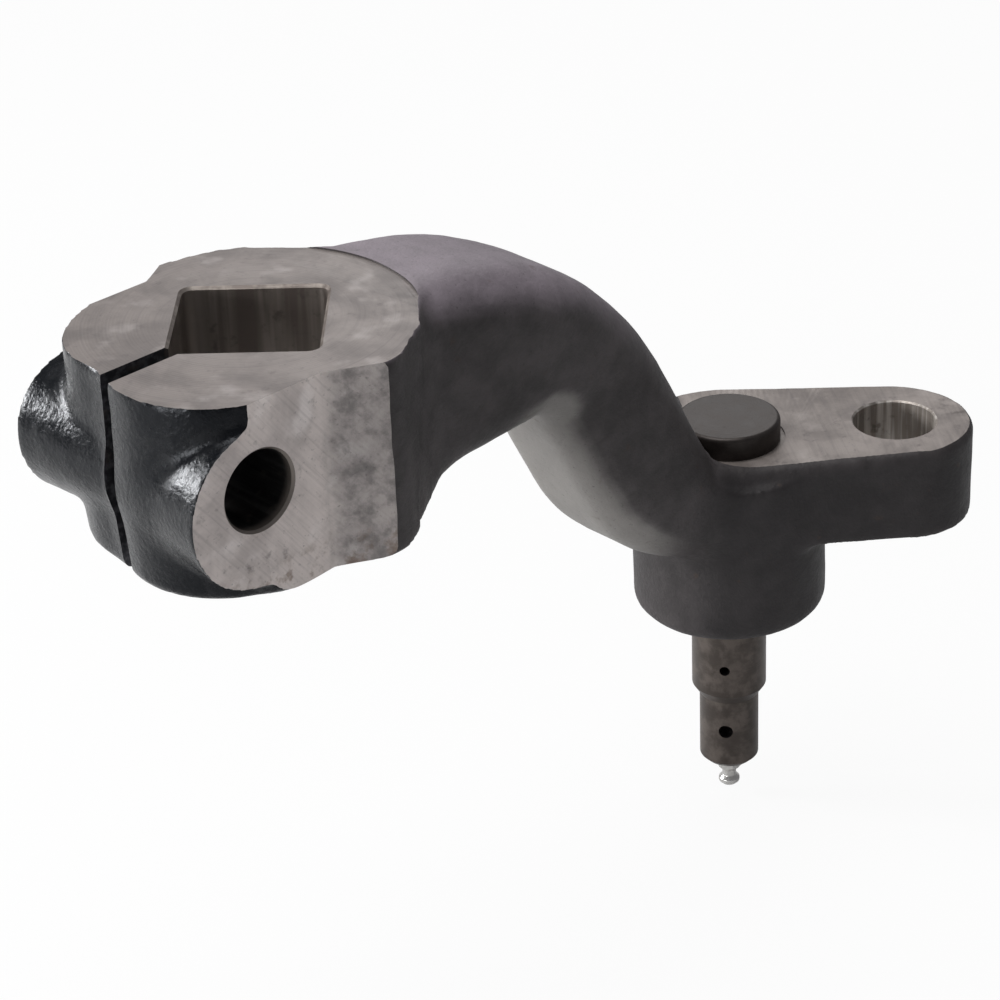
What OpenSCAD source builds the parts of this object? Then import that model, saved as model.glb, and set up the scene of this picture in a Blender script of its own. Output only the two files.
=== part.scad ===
// Steering arm for a tractor front axle: a split clamp with a square socket,
// a neck that drops to a flat pad, and a headed pivot pin with a grease nipple.
// The origin is on the socket's axis at the clamp's top face. +X runs away from
// the slit along the neck to the pivot pin, and +Z is up. Sizes are in millimetres.

/* [Clamp] */
// Width across the flats of the square socket
socket_side = 38.1; // [34:0.1:40]
// Radius in the corners of the socket
socket_corner_r = 3; // [1:0.5:5]
// Height of the clamp along the socket
clamp_h = 55; // [50:1:62]
// Radius of the clamp's round wall
clamp_r = 43; // [40:0.5:47]
// Distance back from the socket's axis to the middle of each ear
ear_back = 20.5; // [16:0.5:24]
// Distance sideways from the slit to the middle of each ear
ear_side = 11; // [8:0.5:14]
// Radius of the near ear at the top
near_ear_r = 28.4; // [27:0.2:31]
// Radius of the far ear at the top
far_ear_r = 24.4; // [23:0.2:28]
// How much smaller the ears' radius is at the bottom
ear_taper = 2.2; // [1:0.1:4]
// Height of the tapered lower part of the ears
ear_taper_h = 23; // [15:1:35]
// Width of the slit between the ears
slit_w = 4.6; // [2:0.2:5]

/* [Pinch bolt] */
// Diameter of the pinch bolt's hole
bolt_hole_d = 21.4; // [16:0.2:23]
// Distance from the socket's axis back to the bolt's axis
bolt_back = 29.8; // [29:0.2:32]
// Depth of the bolt's axis below the clamp's top face
bolt_down = 24.3; // [22:0.1:30]
// Distance from the middle of the clamp to each milled bolt seat
seat_off = 37; // [34:0.5:40]
// Depth of the bosses' middle below the clamp's top face
boss_mid = 29; // [26:0.5:31]
// Radius of the near boss at its seat
near_boss_r = 22; // [20:0.5:24]
// Radius of the far boss at its seat
far_boss_r = 19.5; // [18:0.5:22]
// Radius of both bosses at the slit
slit_boss_r = 17.5; // [17:0.5:19.5]
// Distance from the socket's axis back to where the near seat stops being flat
near_flat_end = 8; // [5:0.5:10]
// Angle at which the near seat's end slopes outwards, in degrees
near_seat_slope = 28; // [22:1:36]
// Distance from the socket's axis along the neck to the knuckle's middle
knuckle_out = 7.5; // [5:0.5:10]
// Distance sideways from the socket's axis to the knuckle's middle
knuckle_side = 33; // [30:0.5:34]
// Radius of the knuckle, which the near seat's sloped end runs out on
knuckle_r = 12; // [11:0.5:13]
// Radius of the cutter that faced the far seat
far_cutter_r = 46; // [42:0.5:50]
// Depth of that cutter's middle below the clamp's top face
far_cutter_down = 38; // [34:0.5:42]
// How much the far seat's wall flares outwards
far_cutter_flare = 8; // [1:0.5:12]

/* [Neck] */
// Distance from the socket's axis to where the neck starts to narrow
root_out = 27; // [16:1:32]
// How far the clamp's top facing reaches past its round wall
face_over = 1; // [0.5:0.1:3]
// Height of the neck's top at the clamp, above the clamp's top face
root_rise = 3; // [0.3:0.1:4]
// Depth of the neck's underside at the clamp, below the clamp's top face
root_low = 61; // [57:0.5:66]
// Distance from the socket's axis to where the underside reaches that depth
root_low_x = 15; // [12:0.5:22]
// Width of the neck at the clamp
root_w = 73; // [66:1:78]
// Width of the neck at the crest
crest_w = 52; // [46:1:56]
// Width of the falling limb
limb_w = 40; // [36:1:46]
// Depth of the crest's top below the clamp's top face, negative if it stands above it
crest_top = -1; // [-1:0.5:8]
// Depth of the crest's underside below the clamp's top face
crest_low = 54.5; // [48:0.5:55]
// Where the limb's upper face would meet the crest's top
limb_x = 106.3; // [104:0.1:112]
// Steepness of the falling limb in degrees
limb_angle = 62; // [56:1:66]
// Thickness of the falling limb
limb_t = 43; // [37:0.5:46]
// Radius of the crest's upper bend
crest_top_r = 118; // [80:1:119]
// Radius of the crest's lower bend
crest_low_r = 15; // [8:1:24]
// Radius of the foot's upper bend
foot_top_r = 16; // [10:1:24]
// Radius of the foot's lower bend
foot_low_r = 64; // [44:1:70]
// Radius of the neck's long edges at the clamp
root_edge_r = 7; // [4:0.5:9]
// Radius of the neck's upper long edges along the crest and the limb
upper_edge_r = 15; // [12:0.5:18]
// Radius of the neck's lower long edges along the crest and the limb
lower_edge_r = 12.5; // [9:0.5:18]
// Radius of the neck's long edges at the pad
foot_edge_r = 13; // [9:0.5:13.5]

/* [Pad] */
// Distance from the socket's axis to the pivot pin
pin_x = 178.8; // [172:0.2:190]
// Depth of the pad's top face below the clamp's top face
pad_down = 103.4; // [92:0.2:112]
// Thickness of the pad
pad_t = 27.5; // [24:0.5:30]
// Distance from the pivot pin to the tie rod hole
hole_out = 51.2; // [48:0.2:60]
// Turn of the pad away from the neck in degrees
pad_turn = -35.3; // [-45:0.1:-20]
// Diameter of the tie rod hole
tie_hole_d = 24.9; // [20:0.1:28]
// Radius of the pad's outer end
pad_end_r = 23.6; // [21:0.2:27]
// Radius of the pad's wide end, by the pivot pin
pad_pin_r = 28.7; // [27:0.1:31]
// How far the wide end's middle lies behind the pivot pin
pad_pin_off = 3.8; // [1:0.2:6]
// Radius of the boss under the pad
boss_r = 29.4; // [26:0.2:31]
// Depth of the boss's lower face below the pad's top face
boss_down = 56; // [48:0.2:60]
// Radius of the boss's rounded lower edge
boss_edge_r = 5; // [2:0.5:8]
// Clearance round the pin's head where the neck is cut away
head_spot_gap = 1.5; // [1:0.1:3]
// Depth of the head's seat below the pad's top face
head_seat_down = 0.4; // [0.2:0.1:1]

/* [Pivot pin] */
// Diameter of the pin's upper section
pin_d = 23.1; // [20:0.1:25]
// Diameter of the pin's lower section
pin_low_d = 18.4; // [15:0.1:19]
// Diameter of the pin's head
pin_head_d = 31.1; // [28:0.1:34]
// Thickness of the pin's head
pin_head_t = 7.4; // [5:0.1:9]
// How far the pressed length stands out beyond the upper section
press_step = 0.25; // [0.2:0.05:0.4]
// Length of the upper section below the boss
pin_up_len = 29.7; // [26:0.1:36]
// Length of the slanted shoulder between the sections
shoulder_len = 3.6; // [2:0.1:5]
// Length of the lower section, with its chamfer
pin_low_len = 24.4; // [20:0.2:30]
// Chamfer at the pin's lower end
pin_end_break = 1.9; // [1:0.1:3]
// Diameter of the grease outlet in the upper section
outlet_d = 3.2; // [2:0.1:4]
// Depth of the grease outlet below the boss
outlet_down = 20; // [10:0.5:24]
// Turn of the grease outlet about the pin in degrees
outlet_turn = 216; // [180:1:260]
// Diameter of the lock hole in the side of the lower section
lock_hole_d = 4.5; // [3:0.1:5]
// Depth of the lock hole, short of the grease passage
lock_hole_depth = 5.5; // [3:0.1:5.5]
// Distance from the lock hole to the pin's lower end
lock_hole_up = 14; // [11:0.2:17]
// Turn of the lock hole about the pin in degrees
lock_hole_turn = 216; // [180:1:260]
// Diameter of the grease passage along the pin
passage_d = 3.4; // [2:0.1:4]

/* [Grease nipple] */
// Outer diameter of the nipple's threaded shank
nipple_thread_d = 6; // [5:0.1:7]
// Length of the threaded shank inside the pin
nipple_thread_len = 5.5; // [4:0.1:8]
// Width across the flats of the nipple's hexagon
nipple_hex = 7; // [7:0.1:8]
// Height of the nipple's hexagon
nipple_hex_h = 4; // [3:0.1:5]
// Diameter of the nipple's head
nipple_head_d = 6.6; // [6.4:0.1:7]
// Height of the nipple from the pin's end to its tip
nipple_h = 11; // [10:0.1:13]
// Diameter of the ball in the nipple
ball_d = 2.6; // [2:0.1:2.8]
// Clearance round the ball in the nipple's chamber
ball_gap = 0.35; // [0.3:0.05:0.5]
// Clearance between the ball and its seat
ball_seat_gap = 0.05; // [0.03:0.01:0.1]
// Diameter of the spring's wire
spring_wire_d = 0.4; // [0.3:0.05:0.5]
// Number of turns in the spring
spring_turns = 6; // [4:1:8]

/* [Hidden] */
$fn = 64;
past = 12;
reach = clamp_r + past;
root_top = root_rise;
root_bottom = -root_low;
lip_x = -2;
lip_z = 1 - clamp_h;
top_skin = 1.3;
pad_top = -pad_down;
pad_bottom = pad_top - pad_t;
boss_bottom = pad_top - boss_down;
head_seat = pad_top - head_seat_down;
press_d = pin_d + 2 * press_step;

// Heights on the pin and inside the nipple
pin_end = boss_bottom - pin_up_len - shoulder_len - pin_low_len;
outlet_z = boss_bottom - outlet_down;
head_break = 0.8;
chamber_r = ball_d / 2 + ball_gap;
mouth_r = 0.8;
retainer_t = 0.8;
head_slope = 1.1;
head_band = 1.6;
seat_z = nipple_h - head_band;
ball_z = pin_end - seat_z - chamber_r + (ball_d / 2 + ball_seat_gap) * sqrt(2);
spring_r = 0.95;
spring_touch = sqrt(pow((ball_d + spring_wire_d) / 2 + ball_seat_gap, 2) - pow(spring_r, 2));
spring_low = ball_z + spring_touch;
spring_high = pin_end + nipple_thread_len - retainer_t - spring_wire_d / 2 - ball_seat_gap;

// Corners of the neck's profile, seen along Y, with each line's bends
foot_skin = 0.7;
pad_skin = 1.3;
side_inset = 0.01;
half_turn = tan(limb_angle / 2);
top_corner = [limb_x, -crest_top];
low_line_x = limb_x - limb_t / sin(limb_angle);
low_corner = [low_line_x + (crest_low - crest_top) / tan(limb_angle), -crest_low];
foot_top_z = pad_top + foot_skin;
foot_low_z = pad_bottom + foot_skin;
foot_top_corner = [limb_x - (crest_top + foot_top_z) / tan(limb_angle), foot_top_z];
foot_low_corner = [low_line_x - (crest_top + foot_low_z) / tan(limb_angle), foot_low_z];
foot_x = pin_x - pin_d / 4;
root_rings = 8;
bend_rings = 10;
limb_rings = 3;
corner_steps = 6;

// Curves: blend is smooth at both ends, fillet leaves steeply and arrives flat
function blend(a, b, t) = a + (b - a) * (1 - cos(180 * t)) / 2;
function fillet(a, b, t) = b + (a - b) * pow(1 - t, 3);
function along(angle) = [cos(angle), -sin(angle)];
function swing(angle) = [sin(angle), cos(angle)];
function bend(corner, r, from, to, t) = let (turn = to > from ? r : -r)
    corner - r * half_turn * along(from) + turn * (swing(blend_angle(from, to, t)) - swing(from));
function blend_angle(from, to, t) = from + (to - from) * t;
function bend_end(corner, r, angle) = corner + r * half_turn * along(angle);

// A station is [upper point, lower point, width, upper edge radius, lower edge radius]
function root_station(t) = [
    [root_out + (limb_x - crest_top_r * half_turn - root_out) * t, blend(root_top, -crest_top, t)],
    [root_out + (low_corner[0] - crest_low_r * half_turn - root_out) * t,
        fillet(root_bottom, -crest_low, t)],
    crest_w + (root_w - crest_w) * pow(1 - t, 2),
    blend(root_edge_r, upper_edge_r, t), blend(root_edge_r, lower_edge_r, t)];
function crest_station(t) = [bend(top_corner, crest_top_r, 0, limb_angle, t),
    bend(low_corner, crest_low_r, 0, limb_angle, t), blend(crest_w, limb_w, t), upper_edge_r,
    lower_edge_r];
function limb_station(t) = let (
    top_start = bend_end(top_corner, crest_top_r, limb_angle),
    low_start = bend_end(low_corner, crest_low_r, limb_angle),
    top_stop = bend(foot_top_corner, foot_top_r, limb_angle, 0, 0),
    low_stop = bend(foot_low_corner, foot_low_r, limb_angle, 0, 0))
    [top_start + (top_stop - top_start) * t, low_start + (low_stop - low_start) * t,
        limb_w, upper_edge_r, lower_edge_r];
function foot_station(t) = [bend(foot_top_corner, foot_top_r, limb_angle, 0, t),
    bend(foot_low_corner, foot_low_r, limb_angle, 0, t), limb_w,
    blend(upper_edge_r, foot_edge_r, t), blend(lower_edge_r, foot_edge_r, t)];
STATIONS = concat(
    [[[lip_x, root_top], [lip_x, lip_z], root_w, root_edge_r, root_edge_r],
        [[root_low_x, root_top], [root_low_x, root_bottom], root_w, root_edge_r, root_edge_r]],
    [for (i = [0 : root_rings]) root_station(i / root_rings)],
    [for (i = [1 : bend_rings]) crest_station(i / bend_rings)],
    [for (i = [1 : limb_rings]) limb_station(i / limb_rings)],
    [for (i = [1 : bend_rings]) foot_station(i / bend_rings)],
    [[[foot_x, foot_top_z], [foot_x, foot_low_z], limb_w, foot_edge_r, foot_edge_r]]);

// Corners of a rounded section, as [across, up] from its middle
function section(w, h, upper_r, lower_r) = [for (q = [0 : 3]) for (i = [0 : corner_steps])
    let (a = 90 * (q + i / corner_steps), r = q < 2 ? upper_r : lower_r)
    [(q == 0 || q == 3 ? 1 : -1) * (w / 2 - r) + r * cos(a),
        (q < 2 ? 1 : -1) * (h / 2 - r) + r * sin(a)]];
function ring(s) = let (mid = (s[0] + s[1]) / 2, h = norm(s[0] - s[1]), up = (s[0] - s[1]) / h)
    [for (p = section(s[2], h, s[3], s[4])) [mid[0] + p[1] * up[0], p[0], mid[1] + p[1] * up[1]]];

module neck() {
    side = 4 * (corner_steps + 1);
    last = len(STATIONS) - 1;
    points = [for (s = STATIONS) each ring(s)];
    walls = [for (k = [0 : last - 1]) for (i = [0 : side - 1])
        let (a = k * side + i, b = k * side + (i + 1) % side)
        each [[a, a + side, b], [b, a + side, b + side]]];
    start = [for (i = [1 : side - 2]) [0, i, i + 1]];
    finish = [for (i = [1 : side - 2]) [last * side, last * side + i + 1, last * side + i]];
    polyhedron(points = points, faces = concat(walls, start, finish), convexity = 6);
}

module rounded_square(side, r) {
    square([side, side - 2 * r], center = true);
    square([side - 2 * r, side], center = true);
    for (x = [-1, 1], y = [-1, 1])
        translate([x * (side / 2 - r), y * (side / 2 - r)])
            circle(r = r);
}

// One ear beside the slit, smaller towards the bottom
module ear(side, r) {
    translate([-ear_back, side * ear_side, -clamp_h]) {
        cylinder(r1 = r - ear_taper, r2 = r, h = ear_taper_h);
        translate([0, 0, ear_taper_h])
            cylinder(r = r, h = clamp_h - ear_taper_h + top_skin);
    }
}

// One boss round the bolt, widening from the slit to its seat
module bolt_boss(side, r) {
    translate([-bolt_back, 0, -boss_mid])
        rotate([-side * 90, 0, 0])
            cylinder(r1 = slit_boss_r, r2 = r, h = seat_off + 1);
}

module clamp_body() {
    translate([0, 0, -clamp_h])
        cylinder(r = clamp_r, h = clamp_h + top_skin);
    translate([knuckle_out, -knuckle_side, -clamp_h])
        cylinder(r = knuckle_r, h = clamp_h + top_skin);
    ear(-1, near_ear_r);
    ear(1, far_ear_r);
    bolt_boss(-1, near_boss_r);
    bolt_boss(1, far_boss_r);
}

// The cuts that leave the bolt seats: a straight one near, a round one far
module bolt_seats() {
    slope_end = past / tan(near_seat_slope) - near_flat_end;
    translate([0, -seat_off, -root_low - past])
        linear_extrude(root_low + 2 * past)
            polygon([[-reach, 0], [-reach, -past], [slope_end, -past], [-near_flat_end, 0]]);
    translate([-bolt_back, seat_off, -far_cutter_down])
        rotate([-90, 0, 0])
            cylinder(r1 = far_cutter_r, r2 = far_cutter_r + far_cutter_flare, h = far_cutter_flare);
}

// The facing cut over the clamp's top, which leaves the neck's crown standing
module top_facing() {
    cylinder(r = clamp_r + face_over, h = past);
    translate([knuckle_out, -knuckle_side, 0])
        cylinder(r = knuckle_r + face_over, h = past);
    translate([-reach, -reach, 0])
        cube([reach, 2 * reach, past]);
}

module socket() {
    rotate(45) {
        translate([0, 0, -root_low - 1])
            linear_extrude(root_low + 2)
                rounded_square(socket_side, socket_corner_r);
    }
}

module slit() {
    translate([-reach, -slit_w / 2, -clamp_h - 1])
        cube([reach - socket_side / 2, slit_w, clamp_h + 2]);
}

module bolt_hole() {
    translate([-bolt_back, 0, -bolt_down])
        rotate([90, 0, 0])
            cylinder(d = bolt_hole_d, h = 2 * seat_off + 2, center = true);
}

// Outline of the pad: two round ends joined by their outer tangents
module pad_outline() {
    gap = norm([hole_out, pad_pin_off]);
    lean = atan2(-pad_pin_off, hole_out);
    tilt = asin((pad_pin_r - pad_end_r) / gap);
    wide = (pad_pin_r - side_inset) * [sin(tilt), cos(tilt)];
    slim = (pad_end_r - side_inset) * [sin(tilt), cos(tilt)];
    translate([0, pad_pin_off])
        rotate(lean) {
            circle(r = pad_pin_r);
            translate([gap, 0])
                circle(r = pad_end_r);
            polygon([wide, [gap + slim[0], slim[1]], [gap + slim[0], -slim[1]], [wide[0], -wide[1]]]);
        }
}

module pad() {
    translate([pin_x, 0, pad_bottom])
        rotate(pad_turn)
            linear_extrude(pad_t + pad_skin)
                pad_outline();
}

module pin_boss() {
    translate([pin_x, 0, boss_bottom])
        rotate_extrude()
            union() {
                translate([0, boss_edge_r])
                    square([boss_r, boss_down - pad_t]);
                square([boss_r - boss_edge_r, boss_edge_r]);
                intersection() {
                    translate([boss_r - boss_edge_r, boss_edge_r])
                        circle(r = boss_edge_r);
                    square(boss_r);
                }
            }
}

// Clears the neck away over the machined top of the pad
module pad_facing() {
    translate([pin_x, 0, head_seat])
        cylinder(d = pin_head_d + 2 * head_spot_gap, h = pad_down);
    translate([pin_x, 0, pad_top])
        rotate(pad_turn)
            translate([0, -pad_pin_r, 0])
                cube([hole_out + pad_end_r, 2 * pad_pin_r + pad_pin_off, pad_down]);
}

module arm_forging() {
    color([0.25, 0.24, 0.25])
        difference() {
            union() {
                clamp_body();
                neck();
                pad();
                pin_boss();
            }
            top_facing();
            bolt_seats();
            socket();
            slit();
            bolt_hole();
            pad_facing();
            translate([pin_x, 0, boss_bottom - 1])
                cylinder(d = press_d, h = boss_down + 2);
            translate([pin_x, 0, 0])
                rotate(pad_turn)
                    translate([hole_out, 0, pad_bottom - 1])
                        cylinder(d = tie_hole_d, h = pad_t + 2);
        }
}

module pivot_pin() {
    color([0.3, 0.27, 0.26])
        translate([pin_x, 0, pin_end])
            difference() {
                pin_blank();
                translate([0, 0, -1])
                    cylinder(d = nipple_thread_d, h = nipple_thread_len + 1);
                cylinder(d = passage_d, h = outlet_z - pin_end + outlet_d / 2);
                translate([0, 0, outlet_z - pin_end])
                    rotate([0, 90, outlet_turn])
                        cylinder(d = outlet_d, h = pin_d);
                translate([0, 0, lock_hole_up])
                    rotate([0, 90, lock_hole_turn])
                        translate([0, 0, pin_low_d / 2 - lock_hole_depth])
                            cylinder(d = lock_hole_d, h = pin_low_d);
            }
}

// The turned pin before its holes are drilled, standing on its lower end
module pin_blank() {
    shank = pin_low_len + shoulder_len + pin_up_len;
    cylinder(d1 = pin_low_d - 2 * pin_end_break, d2 = pin_low_d, h = pin_end_break);
    translate([0, 0, pin_end_break])
        cylinder(d = pin_low_d, h = pin_low_len - pin_end_break);
    translate([0, 0, pin_low_len])
        cylinder(d1 = pin_low_d, d2 = pin_d, h = shoulder_len);
    translate([0, 0, pin_low_len + shoulder_len])
        cylinder(d = pin_d, h = pin_up_len);
    translate([0, 0, shank])
        cylinder(d = press_d, h = head_seat - boss_bottom);
    translate([0, 0, shank + head_seat - boss_bottom]) {
        cylinder(d = pin_head_d, h = pin_head_t - head_break);
        translate([0, 0, pin_head_t - head_break])
            cylinder(d1 = pin_head_d, d2 = pin_head_d - 2 * head_break, h = head_break);
    }
}

// The nipple hangs below the pin's end, so its sizes run down from there
module nipple_body() {
    color([0.78, 0.79, 0.8])
        translate([pin_x, 0, pin_end])
            mirror([0, 0, 1])
                difference() {
                    union() {
                        translate([0, 0, -nipple_thread_len])
                            cylinder(d = nipple_thread_d, h = nipple_thread_len);
                        linear_extrude(nipple_hex_h)
                            polygon([for (a = [0 : 60 : 300]) nipple_hex / sqrt(3) * [cos(a), sin(a)]]);
                        nipple_head();
                    }
                    translate([0, 0, -nipple_thread_len - 1])
                        cylinder(r = mouth_r, h = nipple_thread_len + 1);
                    translate([0, 0, retainer_t - nipple_thread_len])
                        cylinder(r = chamber_r, h = seat_z + nipple_thread_len - retainer_t);
                    translate([0, 0, seat_z])
                        cylinder(r1 = chamber_r, r2 = mouth_r, h = chamber_r - mouth_r);
                    cylinder(r = mouth_r, h = nipple_h + 1);
                }
}

// The waisted head that the grease gun grips
module nipple_head() {
    head_r = nipple_head_d / 2;
    waist_r = head_r - head_slope;
    rotate_extrude()
        polygon([[0, nipple_hex_h], [head_r, nipple_hex_h], [waist_r, nipple_hex_h + head_slope],
            [waist_r, nipple_h - head_band - 2 * head_slope], [head_r, nipple_h - head_band - head_slope],
            [head_r, nipple_h - head_band], [head_r - head_slope, nipple_h - head_slope / 2],
            [mouth_r + head_slope / 2, nipple_h], [0, nipple_h]]);
}

module check_ball() {
    color([0.6, 0.6, 0.62])
        translate([pin_x, 0, ball_z])
            sphere(d = ball_d);
}

// Spring coiled between the retainer in the shank and the ball
module nipple_spring() {
    turn_steps = 20;
    wire_steps = 8;
    steps = spring_turns * turn_steps;
    points = [for (k = [0 : steps]) for (i = [0 : wire_steps - 1])
        let (a = 360 * k / turn_steps, c = 360 * i / wire_steps, r = spring_r + spring_wire_d / 2 * cos(c))
        [r * cos(a), r * sin(a),
            spring_low + (spring_high - spring_low) * k / steps + spring_wire_d / 2 * sin(c)]];
    walls = [for (k = [0 : steps - 1]) for (i = [0 : wire_steps - 1])
        let (a = k * wire_steps + i, b = k * wire_steps + (i + 1) % wire_steps)
        each [[a, b, a + wire_steps], [b, b + wire_steps, a + wire_steps]]];
    finish = [for (i = [0 : wire_steps - 1]) steps * wire_steps + i];
    start = [for (i = [1 : wire_steps]) wire_steps - i];
    color([0.55, 0.55, 0.57])
        translate([pin_x, 0, 0])
            polyhedron(points = points, faces = concat(walls, [start, finish]), convexity = 10);
}

arm_forging();
pivot_pin();
nipple_body();
check_ball();
nipple_spring();
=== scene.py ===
"""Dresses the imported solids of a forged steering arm: the forging with its machined
faces, the pivot pin, and the grease nipple with its ball and spring."""

import logging
import math
from dataclasses import dataclass, field
from enum import Enum
from typing import Sequence

import bmesh
import bpy
import numpy as np
from mathutils import Matrix, Vector


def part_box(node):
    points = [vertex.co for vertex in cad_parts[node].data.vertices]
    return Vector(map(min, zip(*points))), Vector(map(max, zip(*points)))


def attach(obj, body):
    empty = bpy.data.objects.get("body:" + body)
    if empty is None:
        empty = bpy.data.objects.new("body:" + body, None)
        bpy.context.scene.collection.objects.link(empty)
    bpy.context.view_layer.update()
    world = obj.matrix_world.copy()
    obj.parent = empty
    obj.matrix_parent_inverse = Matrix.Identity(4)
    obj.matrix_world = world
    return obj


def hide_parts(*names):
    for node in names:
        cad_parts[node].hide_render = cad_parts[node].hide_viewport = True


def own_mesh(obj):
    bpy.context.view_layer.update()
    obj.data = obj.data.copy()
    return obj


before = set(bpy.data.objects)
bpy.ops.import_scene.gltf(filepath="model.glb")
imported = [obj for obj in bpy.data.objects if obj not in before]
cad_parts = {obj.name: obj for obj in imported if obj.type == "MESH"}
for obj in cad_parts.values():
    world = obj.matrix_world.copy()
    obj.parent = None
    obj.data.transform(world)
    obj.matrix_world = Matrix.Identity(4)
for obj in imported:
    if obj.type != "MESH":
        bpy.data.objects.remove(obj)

LOG = logging.getLogger("steering_arm")
MM = 0.001
Point = tuple[float, float, float]


# Meshes


def object_from_mesh(name: str, mesh: bpy.types.Mesh) -> bpy.types.Object:
    """Links a mesh to the scene.

    Args:
        name: the object's name.
        mesh: its mesh, in metres.

    Returns:
        The new object, at the origin.
    """
    obj = bpy.data.objects.new(name, mesh)
    bpy.context.scene.collection.objects.link(obj)
    return obj


def mesh_from_arrays(name: str, verts: np.ndarray, faces: Sequence[Sequence[int]]) -> bpy.types.Mesh:
    """Builds a mesh from points in millimetres.

    Args:
        name: the mesh's name.
        verts: points, one row each.
        faces: corner indices of each face.

    Returns:
        The mesh, in metres.
    """
    mesh = bpy.data.meshes.new(name)
    mesh.from_pydata((np.asarray(verts, dtype=float) * MM).tolist(), [], [list(map(int, f)) for f in faces])
    mesh.validate()
    mesh.update()
    return mesh


def shade(obj: bpy.types.Object, degrees: float = 32.0) -> None:
    """Shades an object smooth, with edges sharper than an angle left sharp.

    Args:
        obj: the object.
        degrees: the angle.
    """
    mesh = obj.data
    mesh.polygons.foreach_set("use_smooth", [True] * len(mesh.polygons))
    mesh.set_sharp_from_angle(angle=math.radians(degrees))
    mesh.update()


def lathe(profile: Sequence[tuple[float, float]], steps: int = 96) -> tuple[np.ndarray, list[list[int]]]:
    """Turns a profile about Z.

    Args:
        profile: (radius, height) pairs from the lower end to the upper one, both ends on the axis.
        steps: number of segments round the axis.

    Returns:
        Points and faces of a closed surface with its faces outwards.
    """
    angles = np.arange(steps) * 2 * math.pi / steps
    rings = [(r, z) for r, z in profile if r > 1e-6]
    verts = [[r * math.cos(a), r * math.sin(a), z] for r, z in rings for a in angles]
    faces: list[list[int]] = []
    for k in range(len(rings) - 1):
        for i in range(steps):
            j = (i + 1) % steps
            faces.append([k * steps + i, k * steps + j, (k + 1) * steps + j, (k + 1) * steps + i])
    top = (len(rings) - 1) * steps
    verts += [[0, 0, profile[0][1]], [0, 0, profile[-1][1]]]
    low_tip, high_tip = len(verts) - 2, len(verts) - 1
    for i in range(steps):
        j = (i + 1) % steps
        faces.append([low_tip, j, i])
        faces.append([high_tip, top + i, top + j])
    return np.array(verts), faces


def rounded_profile(points: Sequence[tuple[float, float, float]], steps: int = 6) -> list[tuple[float, float]]:
    """Rounds the corners of a profile.

    Args:
        points: (radius, height, corner radius) of each corner.
        steps: number of segments in each rounded corner.

    Returns:
        (radius, height) pairs.
    """
    out: list[tuple[float, float]] = []
    for i, (x, z, r) in enumerate(points):
        if r <= 0 or i in (0, len(points) - 1):
            out.append((x, z))
            continue
        here = np.array([x, z])
        back = np.array(points[i - 1][:2]) - here
        ahead = np.array(points[i + 1][:2]) - here
        back /= np.linalg.norm(back)
        ahead /= np.linalg.norm(ahead)
        half = math.acos(float(np.clip(back @ ahead, -1, 1))) / 2
        reach = r / math.tan(half)
        middle = (back + ahead) / np.linalg.norm(back + ahead) * (r / math.sin(half)) + here
        first, last = here + back * reach, here + ahead * reach
        for k in range(steps + 1):
            p = first + (last - first) * (k / steps) - middle
            p = middle + p / np.linalg.norm(p) * r
            out.append((float(p[0]), float(p[1])))
    return out


def extrude_outline(outline: np.ndarray, low: float, high: float) -> tuple[np.ndarray, list[list[int]]]:
    """Extrudes a closed outline along Z.

    Args:
        outline: (x, y) rows, anticlockwise from above.
        low: height of the lower face.
        high: height of the upper face.

    Returns:
        Points and faces of the prism.
    """
    n = len(outline)
    verts = np.array([[x, y, z] for z in (low, high) for x, y in outline])
    faces = [[i, (i + 1) % n, n + (i + 1) % n, n + i] for i in range(n)]
    faces += [list(range(n - 1, -1, -1)), list(range(n, 2 * n))]
    return verts, faces


def placed(verts: np.ndarray, turn: Matrix, shift: Point = (0, 0, 0)) -> np.ndarray:
    """Turns and then shifts points.

    Args:
        verts: points, one row each.
        turn: a rotation.
        shift: where their origin goes.

    Returns:
        The moved points.
    """
    return verts @ np.array(turn.to_3x3()).T + np.array(shift)


def cut(obj: bpy.types.Object, tool: bpy.types.Object) -> None:
    """Subtracts a tool from an object and removes the tool.

    Args:
        obj: the object that is cut.
        tool: a closed shape; its material goes onto the cut faces.
    """
    modifier = obj.modifiers.new("cut", "BOOLEAN")
    modifier.operation = "DIFFERENCE"
    modifier.object = tool
    modifier.solver = "EXACT"
    modifier.material_mode = "TRANSFER"
    depsgraph = bpy.context.evaluated_depsgraph_get()
    result = bpy.data.meshes.new_from_object(obj.evaluated_get(depsgraph))
    obj.modifiers.remove(modifier)
    obj.data = result
    bpy.data.objects.remove(tool)


# Distance fields, in millimetres


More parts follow.
